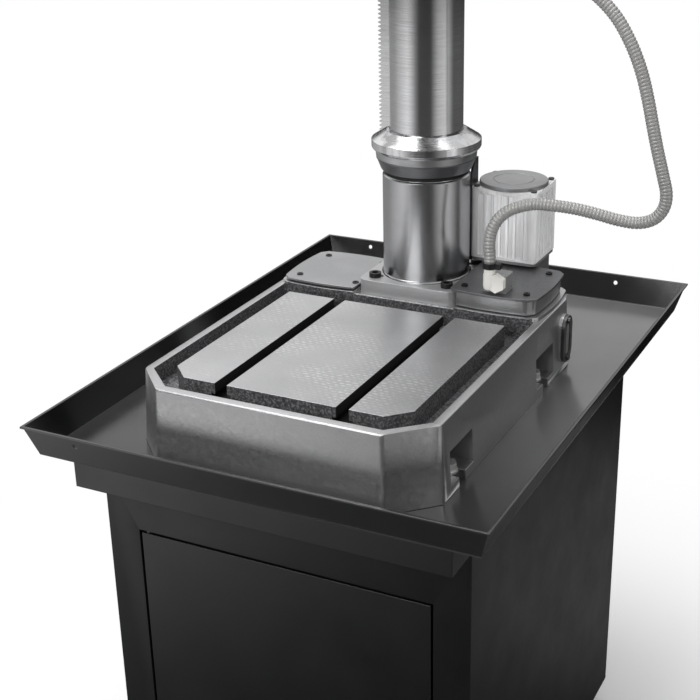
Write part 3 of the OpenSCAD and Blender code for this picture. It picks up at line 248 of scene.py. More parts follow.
# Steel turned or ground along one axis: fine lines across that axis
turnedSkin = dict(metal=1.0, spread=0.12, lineShade=0.7, patches=18, patchRange=(0.45, 0.75), patchShow=0.5,
                  patchShade=0.8)


def turnedSteel(name, look):
    look = {**turnedSkin, **look}
    colour = look["colour"]
    made = Finish(name, colour, look["rough"], look["metal"])
    lines = made.noise(look["lines"], 3, made.stretched(look["along"]))
    made.tint(made.fit(lines, *toneRange, 0, look["vary"]), shaded(colour, look["lineShade"]))
    patches = made.fit(made.noise(look["patches"], 5), *look["patchRange"], 0, look["patchShow"])
    made.tint(patches, shaded(colour, look["patchShade"]))
    made.roughen(made.fit(lines, *roughRange), look["rough"] + look["spread"])
    made.bump(lines, look["depth"])
    return made


# Turned steel with dark and pale streaks standing along the axis: painted reflections of the surroundings
reflectionStreaks = dict(along=(1, 1, 0.05), darkRange=(0.5, 0.56), darkShade=0.35, paleRange=(0.44, 0.38),
               paleShade=1.3)


def reflectionStreakedSteel(name, look, marks=reflectionStreaks):
    made = turnedSteel(name, look)
    streaks = made.noise(look["streaks"], 2, made.stretched(marks["along"]))
    # Dark and pale streaks: painted reflections
    for tone in ("dark", "pale"):
        shown = made.fit(streaks, *marks[tone + "Range"], 0, look["streaky"])
        made.tint(shown, shaded(look["colour"], marks[tone + "Shade"]))
    return made


# Plastic or rubber with a fine moulded grain
mouldedSkin = dict(mottle=40, mottleShow=0.7, vary=1.25, scuffs=120, rougher=0.12, grain=1400, depth=0.00004)


def moulded(name, look):
    look = {**mouldedSkin, **look}
    made = Finish(name, look["colour"], look["rough"])
    mottle = made.fit(made.noise(look["mottle"], 4), *toneRange, 0, look["mottleShow"])
    made.tint(mottle, shaded(look["colour"], look["vary"]))
    made.roughen(made.fit(made.noise(look["scuffs"], 3), *roughRange), look["rough"] + look["rougher"])
    made.bump(made.noise(look["grain"], 2), look["depth"])
    return made


def smoothAbove(mesh, angle):
    mesh.shade_smooth()
    mesh.set_sharp_from_angle(angle=math.radians(angle))


def newPiece(name, bm, finishes, smooth=35):
    mesh = bpy.data.meshes.new(name)
    bm.to_mesh(mesh)
    bm.free()
    piece = bpy.data.objects.new(name, mesh)
    scene.collection.objects.link(piece)
    for finish in finishes:
        mesh.materials.append(finish.material)
    smoothAbove(mesh, smooth)
    return piece


# A CAD node's mesh with its doubles merged and its flat faces joined
merging = dict(reach=0.02, shortest=0.01, flat=0.7)


def mergedCopy(node):
    bm = bmesh.new()
    bm.from_mesh(cadNodes[node].data)
    bmesh.ops.remove_doubles(bm, verts=bm.verts, dist=merging["reach"] * mm)
    bmesh.ops.dissolve_degenerate(bm, edges=bm.edges, dist=merging["shortest"] * mm)
    bmesh.ops.dissolve_limit(bm, angle_limit=math.radians(merging["flat"]), verts=bm.verts, edges=bm.edges,
                             use_dissolve_boundaries=False, delimit={"NORMAL"})
    return bm


def bevelModifier(piece, width, angle, segments=2, clamp=True):
    bevel = piece.modifiers.new("edges", "BEVEL")
    bevel.width, bevel.segments, bevel.harden_normals = width, segments, True
    bevel.limit_method = "ANGLE"
    bevel.angle_limit = math.radians(angle)
    bevel.use_clamp_overlap = clamp
    bevel.miter_outer = "MITER_ARC"


# Nodes with edges too close together for a clamped bevel; nodes turned on an axis, which take finer angles
unclamped = ("left_cover", "right_cover", "cabinet", "cabinet_door", "chip_tray", "plinth", "column_cap",
             "head_cover")
turned = ("column_tube", "column_foot", "column_cap", "spindle", "quill")
plainAngles, turnedAngles = dict(bevel=30, smooth=35), dict(bevel=12, smooth=11)


# Takes a CAD node's place with the same shape, softer edges and its own finish
def dress(node, finish, edge):
    angles = turnedAngles if node in turned else plainAngles
    body = cadNodes[node]["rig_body"]
    words = node.split("_")
    name = words[0] + "".join(word.capitalize() for word in words[1:])
    piece = newPiece(name, mergedCopy(node), [finish], angles["smooth"])
    if edge:
        bevelModifier(piece, edge * mm, angles["bevel"], clamp=node not in unclamped)
    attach(piece, body)
    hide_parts(node)
    return piece


# Coolant hose: round ribs on the route that the solid follows
hose = dict(width=18, bore=0.6, ribs=152, groove=1.0, sides=24, length=0.785, steps=6, smooth=60,
            ribShape=((0, 1.0), (0.1, 0.35), (0.24, 0.05), (0.6, 0.0), (0.78, 0.2), (0.88, 1.0)))
hoseRoute = [(139, 85, 894), (139, 85, 912), (137, 87, 930), (138, 92, 949), (146, 99, 968),
             (163, 107, 982), (192, 115, 991), (223, 121, 991), (255, 127, 988), (285, 133, 982),
             (315, 139, 975), (343, 143, 973), (365, 144, 981), (378, 144, 998), (381, 143, 1020),
             (375, 140, 1048), (366, 136, 1084), (358, 132, 1120), (350, 129, 1156),
             (339, 127, 1194), (322, 126, 1232), (298, 126, 1268), (264, 126, 1298),
             (226, 126, 1317), (190, 126, 1325), (169, 126, 1325), (151, 126, 1325)]


# A smooth curve through the points, which are in mm
def smoothRoute(points, steps):
    points = [Vector(p) * mm for p in points]
    ends = [points[0], *points, points[-1]]
    out = []
    for a, b, c, d in zip(ends, ends[1:], ends[2:], ends[3:]):
        for i in range(steps):
            t = i / steps
            out.append(0.5 * (2 * b + (c - a) * t + (2 * a - 5 * b + 4 * c - d) * t * t
                              + (3 * b - a - 3 * c + d) * t ** 3))
    return out + [points[-1]]


# A straight spun tube whose points are laid along the route
def layAlong(bm, path):
    reach = [0.0]
    for a, b in zip(path, path[1:]):
        reach.append(reach[-1] + (b - a).length)
    across = Vector((1, 0, 0))
    frames = []
    for i, point in enumerate(path):
        ahead = (path[min(i + 1, len(path) - 1)] - path[max(i - 1, 0)]).normalized()
        across = (across - ahead * across.dot(ahead)).normalized()
        frames.append((point, across, ahead.cross(across)))
    step = 0
    for vert in sorted(bm.verts, key=lambda v: v.co.z):
        along = min(max(vert.co.z, 0.0), reach[-1])
        while step < len(path) - 2 and reach[step + 1] < along:
            step += 1
        t = (along - reach[step]) / (reach[step + 1] - reach[step])
        low, high = frames[step], frames[step + 1]
        centre, side, up = (low[k].lerp(high[k], t) for k in range(3))
        side, up = side.normalized(), up.normalized()
        vert.co = centre + side * vert.co.x + up * vert.co.y


def makeHose(finish):
    path = smoothRoute(hoseRoute, hose["steps"])
    total = sum((b - a).length for a, b in zip(path, path[1:]))
    pitch, outer = total / hose["ribs"], hose["width"] / 2 * mm
    bm = bmesh.new()
    profile = [(outer * hose["bore"], 0.0)]
    for i in range(hose["ribs"]):
        for share, dip in hose["ribShape"]:
            profile.append((outer - dip * hose["groove"] * mm, (i + share) * pitch))
    profile.append((outer * hose["bore"], total))
    verts = [bm.verts.new((r, 0, z)) for r, z in profile]
    edges = [bm.edges.new(pair) for pair in zip(verts, verts[1:])]
    bmesh.ops.spin(bm, geom=verts + edges, cent=(0, 0, 0), axis=(0, 0, 1), angle=math.tau,
                   steps=hose["sides"], use_merge=True)
    bmesh.ops.remove_doubles(bm, verts=bm.verts, dist=weld)
    bmesh.ops.holes_fill(bm, edges=bm.edges, sides=hose["sides"])
    layAlong(bm, path)
    bmesh.ops.recalc_face_normals(bm, faces=bm.faces)
    piece = newPiece("coolantHose", bm, [finish], hose["smooth"])
    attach(piece, "frame")
    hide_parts("coolant_hose")


hoseSteel = turnedSteel("hoseSteel", dict(colour=(0.44, 0.437, 0.43), rough=0.42, lines=30, metal=0.55,
                                          along=(8, 8, 8), vary=0.3, depth=0.00002))
makeHose(hoseSteel)
print("hose laid")

# Finishes
# In the cast paints the edge colour is partly bare metal and partly a painted highlight
basePaint = castPaint("basePaint", dict(colour=(0.46, 0.462, 0.468), rough=0.28, metal=0.92, mottle=5,
                                        vary=1.15, grain=300, lump=0.00012, edge=0.0016,
                                        bare=(0.85, 0.85, 0.85)))
cabinetPaint = powderCoat("cabinetPaint", dict(colour=(0.004, 0.0042, 0.0046), rough=0.34, ior=1.6,
                                               edge=0.0012, rub=9, peel=0.00003))
trayLook = dict(colour=(0.004, 0.0042, 0.0045), rough=0.17, ior=1.7, edge=0.0012, rub=24, peel=0.00002,
                sheenTint=(0.5, 0.5, 0.5), least=0.015, most=0.34, sideways=(-0.2, 0.26),
                floorTop=(0.7112, 0.7122), apron=0.1, apronFront=(-0.397, -0.3965), patches=6, patchLeast=0.8,
                backwards=(-0.34, 0.06), atFront=0.2)
trayPaint = powderCoat("trayPaint", trayLook)


# Painted sheen standing in for a reflection of the white surroundings: the tray's floor, more towards the
# right and the back, and its front wall a little, tinted pale and made metallic
def paintTraySheen(made, look):
    x, y, z = made.split()
    along = made.fit(x, *look["sideways"], look["least"], look["most"], True)
    onFloor = made.fit(z, *look["floorTop"], 1, 0)
    outside = made.times(made.fit(y, *look["apronFront"], 1, 0), look["apron"])
    amount = made.maths("MAXIMUM", made.times(onFloor, along), outside)
    patches = made.fit(made.noise(look["patches"], 4), *roughRange, look["patchLeast"], 1)
    amount = made.times(amount, patches)
    amount = made.times(amount, made.fit(y, *look["backwards"], look["atFront"], 1, True))
    # Painted reflection: pale tint and metal where the floor shows a sheen
    made.tint(amount, look["sheenTint"])
    made.set("Metallic", amount)


paintTraySheen(trayPaint, trayLook)
footIron = turnedSteel("footIron", dict(colour=(0.43, 0.433, 0.44), rough=0.22, lines=30,
                                        along=(0.4, 0.4, 50), vary=0.12, depth=0.000001, spread=0.03))
coverSteel = castPaint("coverSteel", dict(colour=(0.36, 0.363, 0.368), rough=0.36, metal=0.9, mottle=9,
                                          vary=1.25, grain=600, lump=0.00003, edge=0.001,
                                          bare=(0.6, 0.6, 0.6)))
lidIron = castPaint("lidIron", dict(colour=(0.14, 0.142, 0.146), rough=0.36, metal=0.7, mottle=9, vary=1.3,
                                    grain=520, lump=0.00005, edge=0.0012, bare=(0.65, 0.65, 0.65)))
skirtIron = castPaint("skirtIron", dict(colour=(0.34, 0.342, 0.346), rough=0.34, metal=0.9, mottle=9,
                                        vary=1.25, grain=520, lump=0.00005, edge=0.0012,
                                        bare=(0.65, 0.65, 0.65)))
groundSteel = turnedSteel("groundSteel", dict(colour=(0.6, 0.603, 0.61), rough=0.12, lines=22,
                                              along=(1, 1, 60), vary=0.35, depth=0.00001))
ringSteel = reflectionStreakedSteel("ringSteel", dict(colour=(0.66, 0.663, 0.67), rough=0.18, lines=22,
                                             along=(1, 1, 60), vary=0.3, depth=0.00001, streaks=34,
                                             streaky=0.6))
bandSteel = turnedSteel("bandSteel", dict(colour=(0.5, 0.503, 0.51), rough=0.3, lines=20, along=(1, 1, 40),
                                          vary=0.4, depth=0.00001))
ringGrey = turnedSteel("ringGrey", dict(colour=(0.24, 0.243, 0.25), rough=0.32, lines=20, along=(1, 1, 40),
                                        vary=0.4, depth=0.00001))
pumpAluminium = turnedSteel("pumpAluminium", dict(colour=(0.94, 0.942, 0.95), rough=0.4, lines=30, metal=0.15,
                                                  along=(12, 12, 0.6), vary=0.5, depth=0.00004))
pumpCapPaint = castPaint("pumpCapPaint", dict(colour=(0.27, 0.272, 0.276), rough=0.4, metal=0.6, mottle=12,
                                              vary=1.3, grain=500, lump=0.00004, edge=0.001,
                                              bare=(0.5, 0.5, 0.5)))
pumpDark = castPaint("pumpDark", dict(colour=(0.05, 0.052, 0.055), rough=0.42, metal=0.3, mottle=12,
                                      vary=1.3, grain=500, lump=0.00005, edge=0.001, bare=(0.3, 0.3, 0.3)))
bracketSteel = turnedSteel("bracketSteel", dict(colour=(0.15, 0.152, 0.156), rough=0.34, lines=30,
                                                along=(1, 1, 12), vary=0.4, depth=0.00002))
blackOxide = castPaint("blackOxide", dict(colour=(0.012, 0.012, 0.013), rough=0.32, metal=0.5, mottle=30,
                                          vary=1.8, grain=900, lump=0.00003, edge=0.0006,
                                          bare=(0.12, 0.12, 0.12)))
brightZinc = turnedSteel("brightZinc", dict(colour=(0.74, 0.735, 0.72), rough=0.3, lines=60, metal=0.6,
                                            along=(3, 3, 3), vary=0.5, depth=0.00003))
gasketRubber = moulded("gasketRubber", dict(colour=(0.008, 0.008, 0.008), rough=0.6))
whitePlastic = moulded("whitePlastic", dict(colour=(0.78, 0.77, 0.73), rough=0.42, vary=1.06))
orangePlastic = moulded("orangePlastic", dict(colour=(0.6, 0.17, 0.03), rough=0.38, vary=1.15))
redPlastic = moulded("redPlastic", dict(colour=(0.5, 0.02, 0.015), rough=0.35))
greenPlastic = moulded("greenPlastic", dict(colour=(0, 0.22, 0.05), rough=0.35))
blackPlastic = moulded("blackPlastic", dict(colour=(0.01, 0.01, 0.011), rough=0.3))
headPaint = castPaint("headPaint", dict(colour=(0.11, 0.113, 0.118), rough=0.36, metal=0.6, mottle=5,
                                        vary=1.3, grain=420, lump=0.0001, edge=0.002,
                                        bare=(0.35, 0.35, 0.35)))
headPlate = turnedSteel("headPlate", dict(colour=(0.36, 0.365, 0.37), rough=0.34, lines=26,
                                          along=(1, 1, 30), vary=0.4, depth=0.00001))
motorPaint = castPaint("motorPaint", dict(colour=(0.1, 0.103, 0.108), rough=0.4, metal=0.5, mottle=8,
                                          vary=1.3, grain=500, lump=0.00006, edge=0.0012,
                                          bare=(0.3, 0.3, 0.3)))
gearSteel = turnedSteel("gearSteel", dict(colour=(0.42, 0.41, 0.38), rough=0.3, lines=40, along=(1, 1, 20),
                                          vary=0.5, depth=0.00002))
flangePaint = castPaint("flangePaint", dict(colour=(0.42, 0.422, 0.428), rough=0.36, metal=0.55, mottle=7,
                                            vary=1.2, grain=400, lump=0.00008, edge=0.002,
                                            bare=(0.8, 0.8, 0.8)))
blockPlastic = moulded("blockPlastic", dict(colour=(0.2, 0.203, 0.2), rough=0.25, vary=1.2))
gaugeGlass = moulded("gaugeGlass", dict(colour=(0.09, 0.095, 0.085), rough=0.06, vary=1.2, depth=0.00001))


# Pads: milled iron with rows of scraped flecks that catch the light unevenly
padLook = dict(colour=(0.52, 0.522, 0.528), rough=0.36, rougher=0.1, rowGap=0.007, fleckGap=0.011, slim=0.4,
               stray=0.008, strayX=45, strayY=38, fleckEdge=(0.03, 0.1), patches=8, patchRange=(0.46, 0.62),
               breaks=160, breakRange=(0.35, 0.6), breakLeast=0.1, show=0.5, bright=(0.85, 0.85, 0.85),
               mottle=5, mottleShow=0.7, mottleShade=0.72, specks=700, speckRange=(0.5, 0.75), speckShow=0.3,
               speckShade=0.5, lines=30, along=(1, 40, 1), lineHeight=0.4, depth=0.00002)


def scrapedPads(name, look):
    colour = look["colour"]
    made = Finish(name, colour, look["rough"], 1.0)
    x, y, _ = made.split()
    x = made.plus(x, made.fit(made.noise(look["strayX"], 1), 0, 1, 0, look["stray"]))
    y = made.plus(y, made.fit(made.noise(look["strayY"], 1), 0, 1, 0, look["stray"]))
    row = made.maths("FLOOR", made.maths("DIVIDE", y, look["rowGap"]))
    shift = made.times(row, look["fleckGap"] / 2)
    along = made.maths("DIVIDE", made.plus(x, shift), look["fleckGap"])
    u = made.minus(made.maths("FRACT", along), 0.5)
    v = made.minus(made.maths("FRACT", made.maths("DIVIDE", y, look["rowGap"])), 0.5)
    u2 = made.times(made.times(u, u), look["slim"])
    fleck = made.fit(made.plus(u2, made.times(v, v)), *look["fleckEdge"], 1, 0, smooth=True)
    patch = made.fit(made.noise(look["patches"], 3), *look["patchRange"])
    breaks = made.fit(made.noise(look["breaks"], 1), *look["breakRange"], look["breakLeast"], 1)
    fleck = made.times(fleck, made.times(patch, breaks))
    mottle = made.fit(made.noise(look["mottle"], 4), *toneRange, 0, look["mottleShow"])
    made.tint(mottle, shaded(colour, look["mottleShade"]))
    specks = made.fit(made.noise(look["specks"], 2), *look["speckRange"], 0, look["speckShow"])
    made.tint(specks, shaded(colour, look["speckShade"]))
    made.tint(made.times(fleck, look["show"]), look["bright"])
    lines = made.noise(look["lines"], 3, made.stretched(look["along"]))
    made.roughen(made.fit(lines, *roughRange), look["rough"] + look["rougher"])
    made.bump(made.plus(fleck, made.times(lines, look["lineHeight"])), look["depth"])
    return made


# Sand-cast iron left as it came from the mould
castSurface = dict(grit=1.6, gritRange=(0.4, 0.7), hollowRange=(0.2, 0.6), hollowShow=0.8, hollowShade=0.4,
                   rougher=0.2)


def roughCast(name, look):
    look = {**castSurface, **look}
    colour = look["colour"]
    made = Finish(name, colour, look["rough"], look["metal"])
    lumps = made.softCells(look["lumps"])
    grit = made.noise(look["lumps"] * look["grit"], 4)
    made.tint(made.fit(grit, *look["gritRange"]), shaded(colour, look["vary"]))
    hollows = made.fit(lumps, *look["hollowRange"], 0, look["hollowShow"])
    made.tint(hollows, shaded(colour, look["hollowShade"]))
    made.roughen(made.fit(grit, *roughRange), look["rough"] + look["rougher"])
    made.bump(made.plus(made.times(lumps, -1.0), grit), look["height"])
    return made


padSteel = scrapedPads("padSteel", padLook)
troughIron = roughCast("troughIron", dict(colour=(0.17, 0.172, 0.176), rough=0.4, metal=0.7, lumps=300,
                                          vary=2.6, height=0.0004))
beadIron = roughCast("beadIron", dict(colour=(0.6, 0.602, 0.606), rough=0.34, metal=0.6, lumps=260,
                                      vary=1.5, height=0.0003))
# The T-slots' faces are near black: painted shade inside the slots
slotDark = roughCast("slotDark", dict(colour=(0.012, 0.012, 0.012), rough=0.7, metal=0.2, lumps=420,
                                      vary=1.5, height=0.00005))
print("finishes made")

# Node, slot, finish and edge radius in mm
plainDress = [
    ("cabinet", "cabinet_paint", cabinetPaint, 0.8), ("plinth", "cabinet_paint", cabinetPaint, 0.8),
    ("cabinet_door", "cabinet_paint", cabinetPaint, 0.8), ("hinge_pins", "bright_bolts", brightZinc, 0.3),
    ("door_latch", "bright_bolts", brightZinc, 0.5), ("chip_tray", "tray_paint", trayPaint, 0.6),
    ("anchor_bolts", "bright_bolts", brightZinc, 0.4), ("left_cover", "cover_steel", coverSteel, 0.5),
    ("right_cover", "lid_iron", lidIron, 0.5), ("cover_gaskets", "gasket", gasketRubber, 0),
    ("sight_gauge", "bright_bolts", bracketSteel, 0.5),
    ("sight_glass", "gauge_glass", gaugeGlass, 0.5), ("column_foot", "foot_iron", footIron, 1.5),
    ("column_tube", "ground_steel", groundSteel, 0.4),
    ("column_rack", "ground_steel", groundSteel, 0.2), ("column_cap", "foot_iron", pumpCapPaint, 1),
    ("pump_flange", "pump_dark", pumpCapPaint, 0.6), ("pump_body", "pump_aluminium", pumpAluminium, 0),
    ("pump_screws", "bright_bolts", pumpDark, 0.4),
    ("pump_bracket", "bracket_steel", bracketSteel, 0.5), ("outlet_block", "foot_iron", blockPlastic, 0.6),
    ("hose_clamp", "clamp_steel", blackOxide, 0.4),
    ("hose_bracket", "foot_iron", pumpCapPaint, 0.8),
    ("coolant_nozzle", "orange_plastic", orangePlastic, 0.2),
    ("pump_rotor", "gear_steel", groundSteel, 0), ("tap_lever", "red_plastic", redPlastic, 0.5),
    ("head_casting", "head_iron", headPaint, 1.5), ("head_cover", "head_plate", headPlate, 0.8),
    ("head_screws", "black_screws", blackOxide, 0.6), ("motor_housing", "motor_paint", motorPaint, 0.6),
    ("motor_cowl", "black_plastic", blackPlastic, 1), ("terminal_box", "black_plastic", blackPlastic, 2),
    ("gear_bearings", "bright_bolts", brightZinc, 0.3), ("switch_panel", "black_plastic", blackPlastic, 2),
    ("motor_rotor", "gear_steel", groundSteel, 0), ("motor_pinion", "gear_steel", gearSteel, 0.2),
    ("layshaft", "gear_steel", groundSteel, 0.3), ("layshaft_gears", "gear_steel", gearSteel, 0.2),
    ("drive_sleeve", "gear_steel", groundSteel, 0.3), ("sleeve_gear", "gear_steel", gearSteel, 0.2),
    ("quill", "ground_steel", groundSteel, 0.5), ("quill_bearings", "bright_bolts", brightZinc, 0.3),
    ("spindle", "ground_steel", groundSteel, 0.5), ("feed_shaft", "gear_steel", groundSteel, 0.8),
    ("feed_spokes", "ground_steel", groundSteel, 0.4), ("feed_knobs", "black_plastic", blackPlastic, 0),
    ("left_speed_lever", "black_plastic", blackPlastic, 0.6),
    ("right_speed_lever", "black_plastic", blackPlastic, 0.6),
    ("elevating_crank", "foot_iron", pumpCapPaint, 0.8), ("clamp_lever", "black_plastic", blackPlastic, 0.5),
    ("start_button", "green_plastic", greenPlastic, 0.8), ("stop_button", "red_plastic", redPlastic, 0.8)]
for node, slotName, finish, edge in plainDress:
    dress(node, finish, edge)

# A second finish on the faces of a dressed piece that lie below a height, in mm
lowerFaces = dict(columnFoot=(flangePaint, 846.3), rightCover=(skirtIron, 849))


def lowerFinish(name, finish, height):
    mesh = bpy.data.objects[name].data
    mesh.materials.append(finish.material)
    for face in mesh.polygons:
        if face.center.z < height * mm:
            face.material_index = 1


# The fillet under the sleeve is drawn in to the small one that the photo shows
fillet = dict(centre=(0, 167), sleeve=68, inner=68.2, reach=85, bottom=845.5, low=846, high=859.5, share=0.4)


def drawInFillet(f=fillet):
    for vert in bpy.data.objects["columnFoot"].data.vertices:
        x, y, z = vert.co.x / mm - f["centre"][0], vert.co.y / mm - f["centre"][1], vert.co.z / mm
        radius = math.hypot(x, y)
        if f["inner"] < radius < f["reach"] and f["bottom"] < z < f["high"]:
            scale = (f["sleeve"] + (radius - f["sleeve"]) * f["share"]) / radius
            vert.co.x, vert.co.y = (f["centre"][0] + x * scale) * mm, (f["centre"][1] + y * scale) * mm
            vert.co.z = (f["low"] + (z - f["low"]) * f["share"]) * mm


drawInFillet()
for name, (finish, height) in lowerFaces.items():
    lowerFinish(name, finish, height)
print("nodes dressed")


# Spins a profile of (radius, height) in mm about an upright axis; one that starts off the axis is closed
def spinProfile(bm, centre, profile, steps):
    verts = [bm.verts.new(((centre[0] + r) * mm, centre[1] * mm, z * mm)) for r, z in profile]
    closing = [] if profile[0][0] == 0 else [(verts[-1], verts[0])]
    edges = [bm.edges.new(pair) for pair in [*zip(verts, verts[1:]), *closing]]
    bmesh.ops.spin(bm, geom=verts + edges, cent=(centre[0] * mm, centre[1] * mm, 0), axis=(0, 0, 1),
                   angle=math.tau, steps=steps, use_merge=True)
    bmesh.ops.remove_doubles(bm, verts=bm.verts, dist=weld)


spinning = dict(steps=96, smooth=12, bevel=14, edge=0.5)


# A spun piece whose faces below lowerZ, in mm, take the second finish
def spun(name, node, finishes, centre, profile, lowerZ=None):
    bm = bmesh.new()
    spinProfile(bm, centre, profile, spinning["steps"])
    bmesh.ops.recalc_face_normals(bm, faces=bm.faces)
    for face in bm.faces:
        if lowerZ and face.calc_center_median().z < lowerZ * mm:
            face.material_index = 1
    piece = newPiece(name, bm, finishes, spinning["smooth"])
    bevelModifier(piece, spinning["edge"] * mm, spinning["bevel"], clamp=False)
    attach(piece, "frame")
    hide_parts(node)


# Profiles in mm, up the outside and back to the column tube
rings = dict(centre=(0, 167), bandBelow=1045.5, gasketBelow=1014.3,
             rack=((56.4, 1034), (77.5, 1034), (78.6, 1044.5), (80, 1045), (80.4, 1046.5), (82.5, 1047),
                   (84.5, 1050), (84.5, 1061), (63, 1074.4), (62, 1075), (57, 1075.4), (56.4, 1075)),
             seat=((56.4, 1008), (64, 1008), (64, 1014), (69.5, 1014.4), (71, 1017), (76.5, 1031.4),
                   (77.4, 1032.2), (77.4, 1034), (56.4, 1034)))
spun("rackRing", "rack_ring", [ringSteel, bandSteel], rings["centre"], rings["rack"],
     rings["bandBelow"])
spun("seatRing", "seat_ring", [ringGrey, gasketRubber], rings["centre"], rings["seat"],
     rings["gasketBelow"])

cap = dict(centre=(112.6, 252),
           profile=((0, 978), (53, 978), (54, 979), (54, 983.8), (52.8, 985), (33, 985), (32.4, 984),
                    (31, 984), (30.4, 985), (28, 985.2), (0, 985.4)))
spun("pumpCap", "pump_cap", [pumpCapPaint], cap["centre"], cap["profile"])

# Elbow: a round leg under the hose, and a hexagonal nut that faces the front
elbow = dict(centre=(139, 85), steps=32, nutX=150.5, nutZ=873, nutRadius=14.8, nutFront=77, nutBack=89,
             nutSides=6, rim=3.0, recess=1.2, smooth=40, edge=0.8, bevel=35, segments=3,
             leg=((0, 860), (5, 860), (8.6, 863), (9.4, 868), (9.4, 886), (8.6, 887), (8.6, 894), (0, 894)))


def makeElbow(e=elbow):
    bm = bmesh.new()
    spinProfile(bm, e["centre"], e["leg"], e["steps"])
    nut = bmesh.ops.create_cone(bm, cap_ends=True, segments=e["nutSides"], radius1=e["nutRadius"] * mm,
                                radius2=e["nutRadius"] * mm, depth=(e["nutBack"] - e["nutFront"]) * mm)
    middle = Vector((e["nutX"], (e["nutBack"] + e["nutFront"]) / 2, e["nutZ"])) * mm
    place = Matrix.Translation(middle) @ Matrix.Rotation(math.radians(90), 4, "X")
    bmesh.ops.transform(bm, matrix=place, verts=nut["verts"])
    ends = [face for face in bm.faces if len(face.verts) == e["nutSides"]]
    front = min(ends, key=lambda face: face.calc_center_median().y)
    bmesh.ops.inset_region(bm, faces=[front], thickness=e["rim"] * mm, depth=0.0)
    bmesh.ops.translate(bm, verts=front.verts, vec=(0, e["recess"] * mm, 0))
    bmesh.ops.recalc_face_normals(bm, faces=bm.faces)
    piece = newPiece("hoseElbow", bm, [whitePlastic], e["smooth"])
    bevelModifier(piece, e["edge"] * mm, e["bevel"], e["segments"], False)
    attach(piece, "frame")
    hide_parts("hose_elbow")


makeElbow()

# Screw heads as small and low as in the photo: each is drawn in round its own axis and down to its seat
lowHeads = dict(edge=0.4, standing=5, slack=0.1, height=0.6)
lowScrews = dict(cover_screws=dict(across=0.82, seats=(830, 855)), foot_bolts=dict(across=1.0, seats=(846,)))


def islands(bm):
    left, groups = set(bm.verts), []
    while left:
        group, queue = [], [left.pop()]
        while queue:
            vert = queue.pop()
            group.append(vert)
            for edge in vert.link_edges:
                other = edge.other_vert(vert)
                if other in left:
                    left.remove(other)
                    queue.append(other)
        groups.append(group)
    return groups


def lowerHeads(node, across, seats, h=lowHeads):
    piece = dress(node, blackOxide, h["edge"])
    bm = bmesh.new()
    bm.from_mesh(piece.data)
    for group in islands(bm):
        xs, ys, zs = ([vert.co[k] for vert in group] for k in range(3))
        centreX, centreY = (min(xs) + max(xs)) / 2, (min(ys) + max(ys)) / 2
        seat = min(seats, key=lambda z: abs(max(zs) - (z + h["standing"]) * mm)) * mm
        for vert in group:
            if vert.co.z > seat - h["slack"] * mm:
                vert.co.x = centreX + (vert.co.x - centreX) * across
                vert.co.y = centreY + (vert.co.y - centreY) * across
                vert.co.z = seat + (vert.co.z - seat) * h["height"]
    bm.to_mesh(piece.data)
    bm.free()


for node, heads in lowScrews.items():
    lowerHeads(node, heads["across"], heads["seats"])
print("rings, cap, elbow and screws made")

# Base casting: rounded rim and corners, machined pads, rough trough and T-slots painted near black as painted
# shade
base = dict(corner=4, cornerTurn=12, cornerSteps=4, rim=2.2, rimTurn=40, rimSteps=3, other=0.6, otherTurn=32,
            smooth=30, level=0.9, seams=(60, 100), seamReach=0.001, rimBack=190, tall=90, halfX=225,
            front=-351, draft=5, height=110.6, cut=57, cutInner=30, cutBack=60, slack=1.5, cutSlack=3,
            deckZ=820.6, padZ=825.0, padReach=0.2, troughZ=793.6, padX=181, padFront=-309, padBack=42,
            troughX=212, troughFront=-337, troughBack=78, slotX=92, slotWide=15, slotBelow=6, beadDeep=7,
            beadX=215, margin=1)


def near(value, target, reach=0.3):
    return abs(value - target) < reach


def sharpEdges(bm, wanted, angle):
    found = []
    for edge in bm.edges:
        if len(edge.link_faces) == 2 and math.degrees(edge.calc_face_angle(0)) > angle:
            middle = (edge.verts[0].co + edge.verts[1].co) / 2 / mm
            along = (edge.verts[1].co - edge.verts[0].co).normalized()
            if wanted(middle, along, edge):
                found.append(edge)
    return found


def roundOff(bm, wanted, width, segments, angle):
    bmesh.ops.bevel(bm, geom=sharpEdges(bm, wanted, angle), offset=width * mm, offset_type="OFFSET",
                    affect="EDGES", segments=segments, profile=0.5, material=-1, clamp_overlap=False)


# On the leaning sides, the front or the two front corners, which are cut off at 45 degrees
def onOutline(p, b=base):
    lean = b["draft"] * (b["deckZ"] - p.z) / b["height"]
    halfX, front = b["halfX"] + lean, b["front"] - lean
    corner = abs(p.x) + abs(p.y - front) > halfX + b["cut"] - b["cutInner"] and p.y < front + b["cutBack"]
    onCut = corner and abs(abs(p.x) - (halfX - b["cut"] + (p.y - front))) < b["cutSlack"]
    return p.y < b["rimBack"] and (near(abs(p.x), halfX, b["slack"]) or near(p.y, front, b["slack"]) or onCut)


def within(p, halfX, front, back, margin=base["margin"]):
    return abs(p.x) < halfX + margin and front - margin < p.y < back + margin


